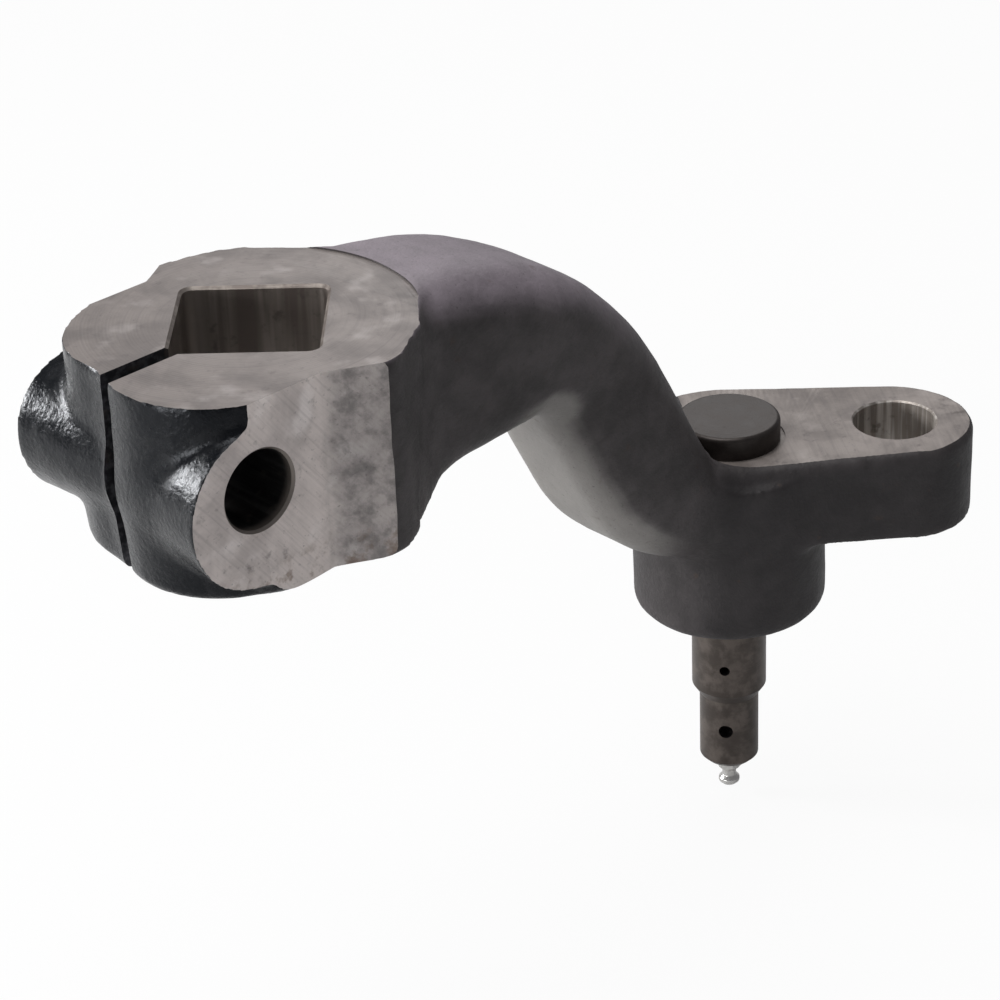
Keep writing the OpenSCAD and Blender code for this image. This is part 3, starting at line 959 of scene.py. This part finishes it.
    def pad(self, grid: DistanceGrid) -> np.ndarray:
        """Returns: distances to the pad and the boss under it."""
        a = math.radians(self.pad_turn)
        dx, dy = grid.x - self.pin_x, grid.y
        u, v = dx * math.cos(a) + dy * math.sin(a), -dx * math.sin(a) + dy * math.cos(a) - self.pad_pin_off
        gap = math.hypot(self.hole_out, self.pad_pin_off)
        lean = math.atan2(-self.pad_pin_off, self.hole_out)
        u, v = u * math.cos(lean) + v * math.sin(lean), -u * math.sin(lean) + v * math.cos(lean)
        share = (self.pad_pin_r - self.pad_end_r) / gap
        across = math.sqrt(1 - share * share)
        v = np.abs(v)
        k = u * across - v * share
        wall = u * share + v * across - self.pad_pin_r
        outline = np.where(k < 0, np.hypot(u, v) - self.pad_pin_r,
                           np.where(k > across * gap, np.hypot(u - gap, v) - self.pad_end_r, wall))
        low, high = -self.pad_down - self.pad_t, -self.pad_down
        drop = self.pad_sag * np.clip((u - self.pad_pin_r) / self.hole_out, 0, 1)
        plate = limited(outline + 0 * grid.z, low - drop - grid.z, 2.0)
        plate = limited(plate, grid.z - high - 0.6 + 0 * plate, 3.0)
        drum = np.sqrt(dx ** 2 + dy ** 2) - self.boss_r
        boss = limited(drum + 0 * grid.z, high - self.boss_down - grid.z + 0 * drum, self.boss_edge)
        boss = np.maximum(boss, grid.z - high + 4)
        return joined(plate, boss, 3.0)

    def blank(self) -> bpy.types.Object:
        """Returns: the raw forging with its fillets, before machining."""
        low = (-56.0, -58.0, -self.pad_down - self.boss_down - 4)
        grid = DistanceGrid(low, (250.0, 48.0, 6.0), self.grid_step)
        body = joined(self.clamp(grid), self.neck(grid), 6.0)
        body = joined(body, self.pad(grid), 6.0)
        body = limited(body, grid.z - 0.6 + 0 * body, np.interp(grid.x, (20, 30), (0.05, 1.2)).astype(np.float32))
        body = body + lumps(grid, 13, 5) * 0.22 + lumps(grid, 5, 6) * 0.10
        verts, faces = grid.surface(body.astype(np.float32))
        return object_from_mesh("arm_forging_form", mesh_from_arrays("arm_forging_form", verts, faces.tolist()))

    def tool(self, name: str, shape: tuple[np.ndarray, list[list[int]]], finish: bpy.types.Material) -> bpy.types.Object:
        """Makes one cutting tool.

        Args:
            name: the tool's name.
            shape: its points and faces.
            finish: what it leaves on the faces it cuts.

        Returns:
            The tool, as an object.
        """
        obj = object_from_mesh(name, mesh_from_arrays(name, *shape))
        obj.data.materials.append(finish)
        return obj

    def square_outline(self, grow: float) -> np.ndarray:
        """Returns: the socket's outline with rounded corners, grown by a distance."""
        half, r = self.socket_side / 2 + grow, self.socket_corner + grow
        points = []
        for q in range(4):
            cx, cy = ((1, 1), (-1, 1), (-1, -1), (1, -1))[q]
            for k in range(9):
                a = math.radians(90 * q + 90 * k / 8)
                points.append((cx * (half - r) + r * math.cos(a), cy * (half - r) + r * math.sin(a)))
        turn = Matrix.Rotation(math.radians(45), 2)
        return np.array([turn @ Vector(p) for p in points])

    def socket_tool(self) -> tuple[np.ndarray, list[list[int]]]:
        """Returns: the socket as a solid, flared at its upper mouth by its edge break."""
        rings = [(1.2, 2.0), (0.0, 0.8), (-0.8, 0.0), (-self.root_low - 2, 0.0)]
        outlines = [np.column_stack([self.square_outline(g), np.full(36, z)]) for z, g in reversed(rings)]
        verts = np.vstack(outlines)
        faces = [[k * 36 + i, k * 36 + (i + 1) % 36, (k + 1) * 36 + (i + 1) % 36, (k + 1) * 36 + i]
                 for k in range(len(rings) - 1) for i in range(36)]
        faces += [list(range(35, -1, -1)), list(range(3 * 36, 4 * 36))]
        return verts, faces

    def top_tool(self) -> tuple[np.ndarray, list[list[int]]]:
        """Returns: the facing cut over the clamp's top, which leaves the neck's crown standing."""
        angles = np.radians(np.linspace(-90, 90, 91))
        r = self.clamp_r + np.interp(np.degrees(np.abs(angles)), (0, 30, 60, 90), (self.face_over, self.face_over, 5, 5))
        outline = [(-60, 60), (-60, -60), (0, -60), *zip(r * np.cos(angles), r * np.sin(angles)), (0, 60)]
        return extrude_outline(np.array(outline), 0, 20)

    def near_seat_tool(self) -> tuple[np.ndarray, list[list[int]]]:
        """Returns: the straight milling cut that leaves the near bolt seat."""
        out = self.seat_off + 20
        end = 20 / math.tan(math.radians(self.near_seat_slope)) - self.near_flat_end
        outline = np.array([(-70, -out), (end, -out), (-self.near_flat_end, -self.seat_off), (-70, -self.seat_off)])
        return extrude_outline(outline, -self.root_low - 12, 12)

    def box_tool(self, low: Point, high: Point) -> tuple[np.ndarray, list[list[int]]]:
        """Returns: a box from its two corners."""
        outline = np.array([(low[0], low[1]), (high[0], low[1]), (high[0], high[1]), (low[0], high[1])])
        return extrude_outline(outline, low[2], high[2])

    def turned_tool(self, profile: Sequence[tuple[float, float]], turn: Matrix, at: Point,
                    steps: int = 96) -> tuple[np.ndarray, list[list[int]]]:
        """Turns a tool about its own axis and puts it in place.

        Args:
            profile: (radius, height) pairs.
            turn: its rotation from the Z axis.
            at: where its origin goes.
            steps: number of segments.

        Returns:
            Its points and faces.
        """
        verts, faces = lathe(profile, steps)
        return placed(verts, turn, at), faces

    def build(self) -> bpy.types.Object:
        """Returns: the finished forging, dressed and riding on the arm."""
        obj = self.blank()
        obj.data.materials.append(ForgedFinish().build())
        faced = FacedFinish("faced_clamp_top", pitch=0.9, stroke=0.10, wall=0.9).build()
        cut(obj, self.tool("top_cutter", self.top_tool(), faced))
        disc = [(0, 0), (self.knuckle_r + 1, 0), (self.knuckle_r + 1, 20), (0, 20)]
        cut(obj, self.tool("knuckle_cutter", self.turned_tool(
            disc, Matrix.Identity(3), (self.knuckle_out, -self.knuckle_side, 0)), faced))
        for side in Side:
            # painted shade: the far seat is a darker copy of the near seat's milled finish, its colours scaled to 0.42
            share = 1.0 if side is Side.NEAR else 0.42
            base, worn, pale = (tuple(share * c for c in colour) for colour in (
                (0.66, 0.595, 0.565), (0.50, 0.45, 0.43), (0.80, 0.745, 0.720)))
            seat = FacedFinish(f"milled_seat_{side.name.lower()}", turn=(90, 0, 38), arcs=False, pitch=1.1,
                               stroke=0.10, stain_share=0.45, base=base, worn=worn, pale=pale,
                               mottled_from=-self.near_flat_end if side is Side.NEAR else 900.0,
                               rust_below=-48.0).build()
            rim = self.far_cutter_r + self.far_cutter_flare
            profile = [(0, 0), (self.far_cutter_r, 0), (rim, self.far_cutter_flare), (rim, 30), (0, 30)]
            shape = self.near_seat_tool() if side is Side.NEAR else self.turned_tool(
                profile, Matrix.Rotation(math.radians(-90), 3, "X"),
                (-self.bolt_back, self.seat_off, -self.far_cutter_down))
            cut(obj, self.tool("seat_cutter", shape, seat))
        socket = BoredFinish("broached_socket", base=(0.16, 0.135, 0.12), streak=(0.26, 0.23, 0.205),
                             streak_width=5.0, glint=(1.5, 24.5, 0.0)).build()
        cut(obj, self.tool("socket_cutter", self.socket_tool(), socket))
        # painted shade: the sawn slit's walls are near black, standing in for the shade inside the narrow slit
        slit_shade = BoredFinish("slit_in_painted_shade", base=(0.035, 0.035, 0.04), streak=(0.10, 0.10, 0.11), turn=(90, 0, 0)).build()
        cut(obj, self.tool("slit_cutter", self.box_tool((-70, -self.slit_w / 2, -66), (-self.socket_side / 2, self.slit_w / 2, 5)), slit_shade))
        # painted shade: the bolt bore's wall is near black deep inside and takes the lighter mouth colour near each
        # mouth
        bolt = BoredFinish("bolt_bore", base=(0.022, 0.021, 0.022), streak=(0.06, 0.058, 0.058),
                           turn=(90, 0, 0), mouth_at=self.seat_off).build()
        edge = 0.7
        mouth, r = self.seat_off, self.bolt_r
        profile = [(0, -mouth - 2), (r + edge + 2, -mouth - 2), (r, -mouth + edge), (r, mouth - edge), (r + edge + 2, mouth + 2), (0, mouth + 2)]
        cut(obj, self.tool("bolt_cutter", self.turned_tool(profile, Matrix.Rotation(math.radians(90), 3, "X"),
                                                           (-self.bolt_back, 0, -self.bolt_down)), bolt))
        pad_face = FacedFinish("milled_pad_top", base=(0.215, 0.187, 0.171), worn=(0.150, 0.130, 0.120),
                               pale=(0.29, 0.257, 0.24), turn=(0, 0, -self.pad_turn), arcs=False, pitch=1.6,
                               stroke=0.12, stain_share=0.5, rough=0.5, wall=0.9).build()
        turn = Matrix.Rotation(math.radians(self.pad_turn), 3, "Z")
        box, faces = self.box_tool((-10, 1.8 - self.pad_end_r, 0), (self.hole_out + self.pad_end_r + 5, self.pad_pin_r + self.pad_pin_off, 60))
        cut(obj, self.tool("pad_cutter", (placed(box, turn, (self.pin_x, 0, -self.pad_down)), faces), pad_face))
        spot = [(0, 0), (self.head_spot_r, 0), (self.head_spot_r, 60), (0, 60)]
        cut(obj, self.tool("spot_cutter", self.turned_tool(spot, Matrix.Identity(3), (self.pin_x, 0, -self.pad_down - self.head_seat_down)), pad_face))
        bore = BoredFinish("tie_rod_bore", base=(0.27, 0.24, 0.215), streak=(0.52, 0.485, 0.45),
                           axis=(*self.hole_at, 0)).build()
        high, low = 0.0, -self.pad_t
        r = self.hole_r
        low -= self.pad_sag * 0.45
        profile = [(0, low - 5), (r + 5.6, low - 5), (r, low + 0.6), (r, high - 0.5), (r + 2.5, high + 2), (0, high + 2)]
        cut(obj, self.tool("tie_cutter", self.turned_tool(profile, Matrix.Identity(3), (*self.hole_at, -self.pad_down)), bore))
        profile = [(0, -self.boss_down - 2), (self.press_r + 0.02, -self.boss_down - 2), (self.press_r + 0.02, 2), (0, 2)]
        cut(obj, self.tool("pin_cutter", self.turned_tool(profile, Matrix.Identity(3), (self.pin_x, 0, -self.pad_down)), bore))
        shade(obj, 35)
        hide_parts("arm_forging")
        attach(obj, "arm")
        LOG.info("forging: %d faces", len(obj.data.polygons))
        return obj


@dataclass
class PivotPin:
    """The headed pin pressed into the boss. Sizes in millimetres."""

    x: float = 178.8
    head_seat: float = -103.8
    boss_low: float = -159.4
    head_r: float = 15.55
    head_t: float = 7.4
    press_r: float = 11.8
    upper_r: float = 11.55
    lower_r: float = 9.2
    upper_len: float = 29.7
    shoulder: float = 3.6
    lower_len: float = 24.4
    end_break: float = 1.9
    outlet_r: float = 1.6
    outlet_down: float = 20.0
    outlet_turn: float = 216.0
    lock_r: float = 2.25
    lock_up: float = 14.0
    lock_turn: float = 216.0
    lock_depth: float = 5.5

    @property
    def end(self) -> float:
        """Height of the pin's lower end."""
        return self.boss_low - self.upper_len - self.shoulder - self.lower_len

    def build(self) -> bpy.types.Object:
        """Returns: the pin, dressed and riding on the arm."""
        top = self.head_seat + self.head_t
        corners = [(0, self.end, 0), (self.lower_r - self.end_break, self.end, 0.5),
                   (self.lower_r, self.end + self.end_break, 0.6), (self.lower_r, self.end + self.lower_len, 0.5),
                   (self.upper_r, self.boss_low - self.upper_len, 0.5), (self.upper_r, self.boss_low, 0),
                   (self.press_r, self.boss_low, 0), (self.press_r, self.head_seat, 0),
                   (self.head_r, self.head_seat, 0.4), (self.head_r, top, 1.3), (0, top, 0)]
        verts, faces = lathe(rounded_profile(corners), 128)
        obj = object_from_mesh("pivot_pin_form", mesh_from_arrays("pivot_pin_form", verts + [self.x, 0, 0], faces))
        steel = TurnedFinish("pin_steel", base=(0.054, 0.044, 0.038), worn=(0.105, 0.088, 0.077),
                             axis=(self.x, 0, 0), dull_above=self.head_seat).build()
        dark = BoredFinish("pin_hole_wall", base=(0.02, 0.018, 0.018), streak=(0.05, 0.045, 0.045)).build()
        obj.data.materials.append(steel)
        for r, z, turn, start in ((self.outlet_r, self.boss_low - self.outlet_down, self.outlet_turn, 0.0),
                                  (self.lock_r, self.end + self.lock_up, self.lock_turn, self.lower_r - self.lock_depth)):
            profile = [(0, start), (r, start), (r, 20), (0, 20)]
            tilt = Matrix.Rotation(math.radians(turn), 3, "Z") @ Matrix.Rotation(math.radians(90), 3, "Y")
            points, sides = lathe(profile, 32)
            tool = object_from_mesh("drill", mesh_from_arrays("drill", placed(points, tilt, (self.x, 0, z)), sides))
            tool.data.materials.append(dark)
            cut(obj, tool)
        shade(obj, 32)
        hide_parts("pivot_pin")
        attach(obj, "arm")
        LOG.info("pivot pin: %d faces", len(obj.data.polygons))
        return obj


@dataclass
class GreaseNipple:
    """The nipple in the pin's lower end, with its ball and spring. Sizes in millimetres."""

    pin: PivotPin
    shank_r: float = 3.0
    shank_len: float = 5.5
    hex_across: float = 7.0
    hex_h: float = 4.0
    head_r: float = 3.3
    height: float = 11.0
    slope: float = 1.1
    band: float = 1.6
    mouth_r: float = 0.8
    chamber_r: float = 1.65
    retainer: float = 0.8
    spring_r: float = 0.95
    wire_r: float = 0.2
    turns: int = 6
    lift: float = 1.0

    def hex_ring(self, limit: float, z: float, steps: int = 72) -> list[list[float]]:
        """Points round the hexagon at one height.

        Args:
            limit: largest radius there.
            z: distance down from the pin's end.
            steps: number of points.

        Returns:
            The points, with the pin's end at height 0.
        """
        ring = []
        for i in range(steps):
            a = 2 * math.pi * i / steps
            local = (a % (math.pi / 3)) - math.pi / 6
            r = min(self.hex_across / 2 / math.cos(local), limit)
            ring.append([r * math.cos(a), r * math.sin(a), -z])
        return ring

    def body(self) -> bpy.types.Object:
        """Returns: the nipple's body with its chamber."""
        corner = self.hex_across / math.sqrt(3)
        rows = [(self.mouth_r, -self.shank_len), (self.shank_r - 0.4, -self.shank_len), (self.shank_r, -self.shank_len + 0.4)]
        outer: list[list[list[float]]] = [self.hex_ring(r, z) for r, z in rows] + [self.hex_ring(self.shank_r, 0.0)]
        outer += [self.hex_ring(corner - 0.45, 0.0), self.hex_ring(corner, 0.35), self.hex_ring(corner, self.hex_h - 0.5),
                  self.hex_ring(corner - 0.6, self.hex_h)]
        waist = self.head_r - self.slope
        profile = rounded_profile([(self.head_r, self.hex_h, 0), (waist, self.hex_h + self.slope, 0.5),
                                   (waist, self.height - self.band - 2 * self.slope, 0.5),
                                   (self.head_r, self.height - self.band - self.slope, 0.35),
                                   (self.head_r, self.height - self.band, 0.6),
                                   (self.head_r - self.slope, self.height - self.slope / 2, 0.8),
                                   (self.mouth_r + self.slope / 2, self.height, 0.3), (self.mouth_r, self.height, 0)], 4)
        outer += [self.hex_ring(r, z) for r, z in profile if r <= self.hex_across / 2]
        seat = self.height - self.band
        inner = [(self.mouth_r, seat + self.chamber_r - self.mouth_r), (self.chamber_r, seat),
                 (self.chamber_r, self.retainer - self.shank_len), (self.mouth_r, self.retainer - self.shank_len)]
        outer += [self.hex_ring(r, z) for r, z in inner]
        verts = np.array([p for ring in outer for p in ring]) + [self.pin.x, 0, self.pin.end]
        count, steps = len(outer), 72
        faces = [[k * steps + i, ((k + 1) % count) * steps + i, ((k + 1) % count) * steps + (i + 1) % steps,
                  k * steps + (i + 1) % steps] for k in range(count) for i in range(steps)]
        obj = object_from_mesh("nipple_body_form", mesh_from_arrays("nipple_body_form", verts, faces))
        work = bmesh.new()
        work.from_mesh(obj.data)
        bmesh.ops.remove_doubles(work, verts=work.verts, dist=1e-6)
        bmesh.ops.recalc_face_normals(work, faces=work.faces)
        work.to_mesh(obj.data)
        work.free()
        obj.data.materials.append(TurnedFinish("plated_nipple", base=(0.72, 0.71, 0.69), worn=(0.58, 0.57, 0.55),
                                               axis=(self.pin.x, 0, 0), feed=0.3, depth=0.02, rough=0.28, metal=0.85,
                                               grime=0.15).build())
        shade(obj, 25)
        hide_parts("nipple_body")
        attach(obj, "arm")
        LOG.info("nipple: %d faces", len(obj.data.polygons))
        return obj

    def spring(self) -> bpy.types.Object:
        """Returns: the coiled spring, made by a node tree from its sizes."""
        low, high = (v.z / MM for v in map(Vector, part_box("nipple_spring")))
        finish = TurnedFinish("spring_wire", base=(0.5, 0.5, 0.5), worn=(0.6, 0.6, 0.6), axis=(self.pin.x, 0, 0),
                              rough=0.3, metal=0.9, grime=0.1).build()
        tree = bpy.data.node_groups.new("coil", "GeometryNodeTree")
        tree.is_modifier = True
        sizes = {"Radius": self.spring_r * MM, "Wire": self.wire_r * MM, "Turns": float(self.turns),
                 "Height": (high - low - 2 * self.wire_r) * MM, "Low": (low + self.wire_r) * MM, "Across": self.pin.x * MM}
        for name in sizes:
            tree.interface.new_socket(name, in_out="INPUT", socket_type="NodeSocketFloat")
        tree.interface.new_socket("Geometry", in_out="OUTPUT", socket_type="NodeSocketGeometry")
        nodes, link = tree.nodes, tree.links.new
        given, result = nodes.new("NodeGroupInput"), nodes.new("NodeGroupOutput")
        coil, wire, tube = (nodes.new(k) for k in ("GeometryNodeCurveSpiral", "GeometryNodeCurvePrimitiveCircle",
                                                    "GeometryNodeCurveToMesh"))
        coil.inputs["Resolution"].default_value = 24
        wire.inputs["Resolution"].default_value = 10
        tube.inputs["Fill Caps"].default_value = True
        place, move = nodes.new("ShaderNodeCombineXYZ"), nodes.new("GeometryNodeTransform")
        real, dress = nodes.new("GeometryNodeRealizeInstances"), nodes.new("GeometryNodeSetMaterial")
        dress.inputs["Material"].default_value = finish
        link(given.outputs["Turns"], coil.inputs["Rotations"])
        link(given.outputs["Radius"], coil.inputs["Start Radius"])
        link(given.outputs["Radius"], coil.inputs["End Radius"])
        link(given.outputs["Height"], coil.inputs["Height"])
        link(given.outputs["Wire"], wire.inputs["Radius"])
        link(coil.outputs["Curve"], tube.inputs["Curve"])
        link(wire.outputs["Curve"], tube.inputs["Profile Curve"])
        link(given.outputs["Across"], place.inputs["X"])
        link(given.outputs["Low"], place.inputs["Z"])
        link(tube.outputs["Mesh"], move.inputs["Geometry"])
        link(place.outputs["Vector"], move.inputs["Translation"])
        link(move.outputs["Geometry"], real.inputs["Geometry"])
        link(real.outputs["Geometry"], dress.inputs["Geometry"])
        link(dress.outputs["Geometry"], result.inputs["Geometry"])
        obj = object_from_mesh("nipple_spring_form", bpy.data.meshes.new("nipple_spring_form"))
        modifier = obj.modifiers.new("coil", "NODES")
        modifier.node_group = tree
        for item in tree.interface.items_tree:
            if item.in_out == "INPUT":
                modifier[item.identifier] = sizes[item.name]
        depsgraph = bpy.context.evaluated_depsgraph_get()
        mesh = bpy.data.meshes.new_from_object(obj.evaluated_get(depsgraph))
        obj.modifiers.clear()
        obj.data = mesh
        shade(obj, 60)
        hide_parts("nipple_spring")
        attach(obj, "arm")
        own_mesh(obj)
        LOG.info("spring: %d faces", len(mesh.polygons))
        return obj

    def ball(self) -> None:
        """Dresses the ball, whose solid is already the right shape."""
        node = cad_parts["check_ball"]
        node.data.materials.clear()
        node.data.materials.append(TurnedFinish("polished_ball", base=(0.62, 0.62, 0.63), worn=(0.55, 0.55, 0.56),
                                                axis=(self.pin.x, 0, 0), rough=0.15, metal=0.95, grime=0.05,
                                                depth=0.005).build())
        LOG.info("ball dressed")


# The stage


@dataclass
class Studio:
    """Camera, lamps, floor and surroundings. Sizes in metres."""

    eye: Point = (-0.4731, -0.6033, 0.3637)
    forward: Point = (0.5949, 0.6440, -0.4810)
    right: Point = (0.7211, -0.6920, -0.0346)
    focal: float = 119.77
    floor_z: float = -0.2315

    def camera(self) -> None:
        """Puts the camera where the photo was taken from."""
        data = bpy.data.cameras.new("camera")
        data.lens = self.focal
        data.sensor_width = 36.0
        data.sensor_fit = "HORIZONTAL"
        data.clip_start = 0.05
        data.clip_end = 20
        camera = object_of_data("camera", data)
        ahead = Vector(self.forward).normalized()
        right = Vector(self.right)
        right = (right - ahead * right.dot(ahead)).normalized()
        up = right.cross(ahead)
        matrix = Matrix((right, up, -ahead)).transposed().to_4x4()
        matrix.translation = Vector(self.eye)
        camera.matrix_world = matrix
        bpy.context.scene.camera = camera

    def lamp(self, name: str, at: Point, to: Point, size: float, power: float) -> None:
        """Adds one soft lamp.

        Args:
            name: its name.
            at: where it hangs.
            to: what it points at.
            size: its width.
            power: its strength in watts.
        """
        data = bpy.data.lights.new(name, "AREA")
        data.size = size
        data.energy = power
        lamp = object_of_data(name, data)
        lamp.matrix_world = (Vector(to) - Vector(at)).to_track_quat("-Z", "Y").to_matrix().to_4x4()
        lamp.location = at

    def floor(self) -> None:
        """Lays the pale floor, white to the camera but for the object's shadow."""
        verts = np.array([[-6, -6, 0], [6, -6, 0], [6, 6, 0], [-6, 6, 0]]) / MM + [0, 0, self.floor_z / MM]
        obj = object_from_mesh("floor", mesh_from_arrays("floor", verts, [[0, 1, 2, 3]]))
        material = bpy.data.materials.new("pale_floor")
        material.use_nodes = True
        nodes, link = material.node_tree.nodes, material.node_tree.links.new
        nodes["Principled BSDF"].inputs["Base Color"].default_value = (0.60, 0.60, 0.60, 1)
        nodes["Principled BSDF"].inputs["Roughness"].default_value = 0.9
        glow, mix, path = (nodes.new(k) for k in ("ShaderNodeEmission", "ShaderNodeMixShader", "ShaderNodeLightPath"))
        share = nodes.new("ShaderNodeMath")
        share.operation = "MULTIPLY"
        share.inputs[1].default_value = 0.93
        link(path.outputs["Is Camera Ray"], share.inputs[0])
        link(share.outputs[0], mix.inputs[0])
        link(nodes["Principled BSDF"].outputs[0], mix.inputs[1])
        link(glow.outputs[0], mix.inputs[2])
        link(mix.outputs[0], nodes["Material Output"].inputs["Surface"])
        obj.data.materials.append(material)

    def world(self) -> None:
        """Surrounds the object with an even grey that the camera sees as white."""
        world = bpy.data.worlds.new("studio")
        world.use_nodes = True
        nodes, link = world.node_tree.nodes, world.node_tree.links.new
        plain, white = nodes["Background"], nodes.new("ShaderNodeBackground")
        plain.inputs["Color"].default_value = (0.24, 0.24, 0.25, 1)
        mix, path = nodes.new("ShaderNodeMixShader"), nodes.new("ShaderNodeLightPath")
        link(path.outputs["Is Camera Ray"], mix.inputs[0])
        link(plain.outputs[0], mix.inputs[1])
        link(white.outputs[0], mix.inputs[2])
        link(mix.outputs[0], nodes["World Output"].inputs["Surface"])
        white.inputs["Color"].default_value = (1, 1, 1, 1)
        bpy.context.scene.world = world

    def build(self) -> None:
        """Sets the whole stage."""
        self.camera()
        self.floor()
        self.world()
        middle = (0.09, 0.0, -0.08)
        self.lamp("key", (-0.15, 0.15, 1.25), middle, 0.9, 14)
        self.lamp("side", (-0.62, 0.98, 0.24), (-0.03, 0.0, -0.02), 0.3, 16)
        self.lamp("left", (-1.10, -0.05, 0.02), (0.12, 0.0, -0.09), 0.35, 6)
        self.lamp("back", (0.90, 0.70, 0.60), middle, 0.7, 3)
        bpy.context.scene.view_settings.view_transform = "Standard"


def object_of_data(name: str, data: bpy.types.ID) -> bpy.types.Object:
    """Links a camera or lamp to the scene.

    Args:
        name: the object's name.
        data: what it holds.

    Returns:
        The object.
    """
    obj = bpy.data.objects.new(name, data)
    bpy.context.scene.collection.objects.link(obj)
    return obj


def main() -> None:
    """Builds every piece in order."""
    logging.basicConfig(level=logging.INFO, format="%(name)s: %(message)s")
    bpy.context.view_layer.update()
    Studio().build()
    ForgedArm().build()
    pin = PivotPin()
    pin.build()
    nipple = GreaseNipple(pin)
    nipple.body()
    nipple.spring()
    nipple.ball()


if __name__ == "__main__":
    main()
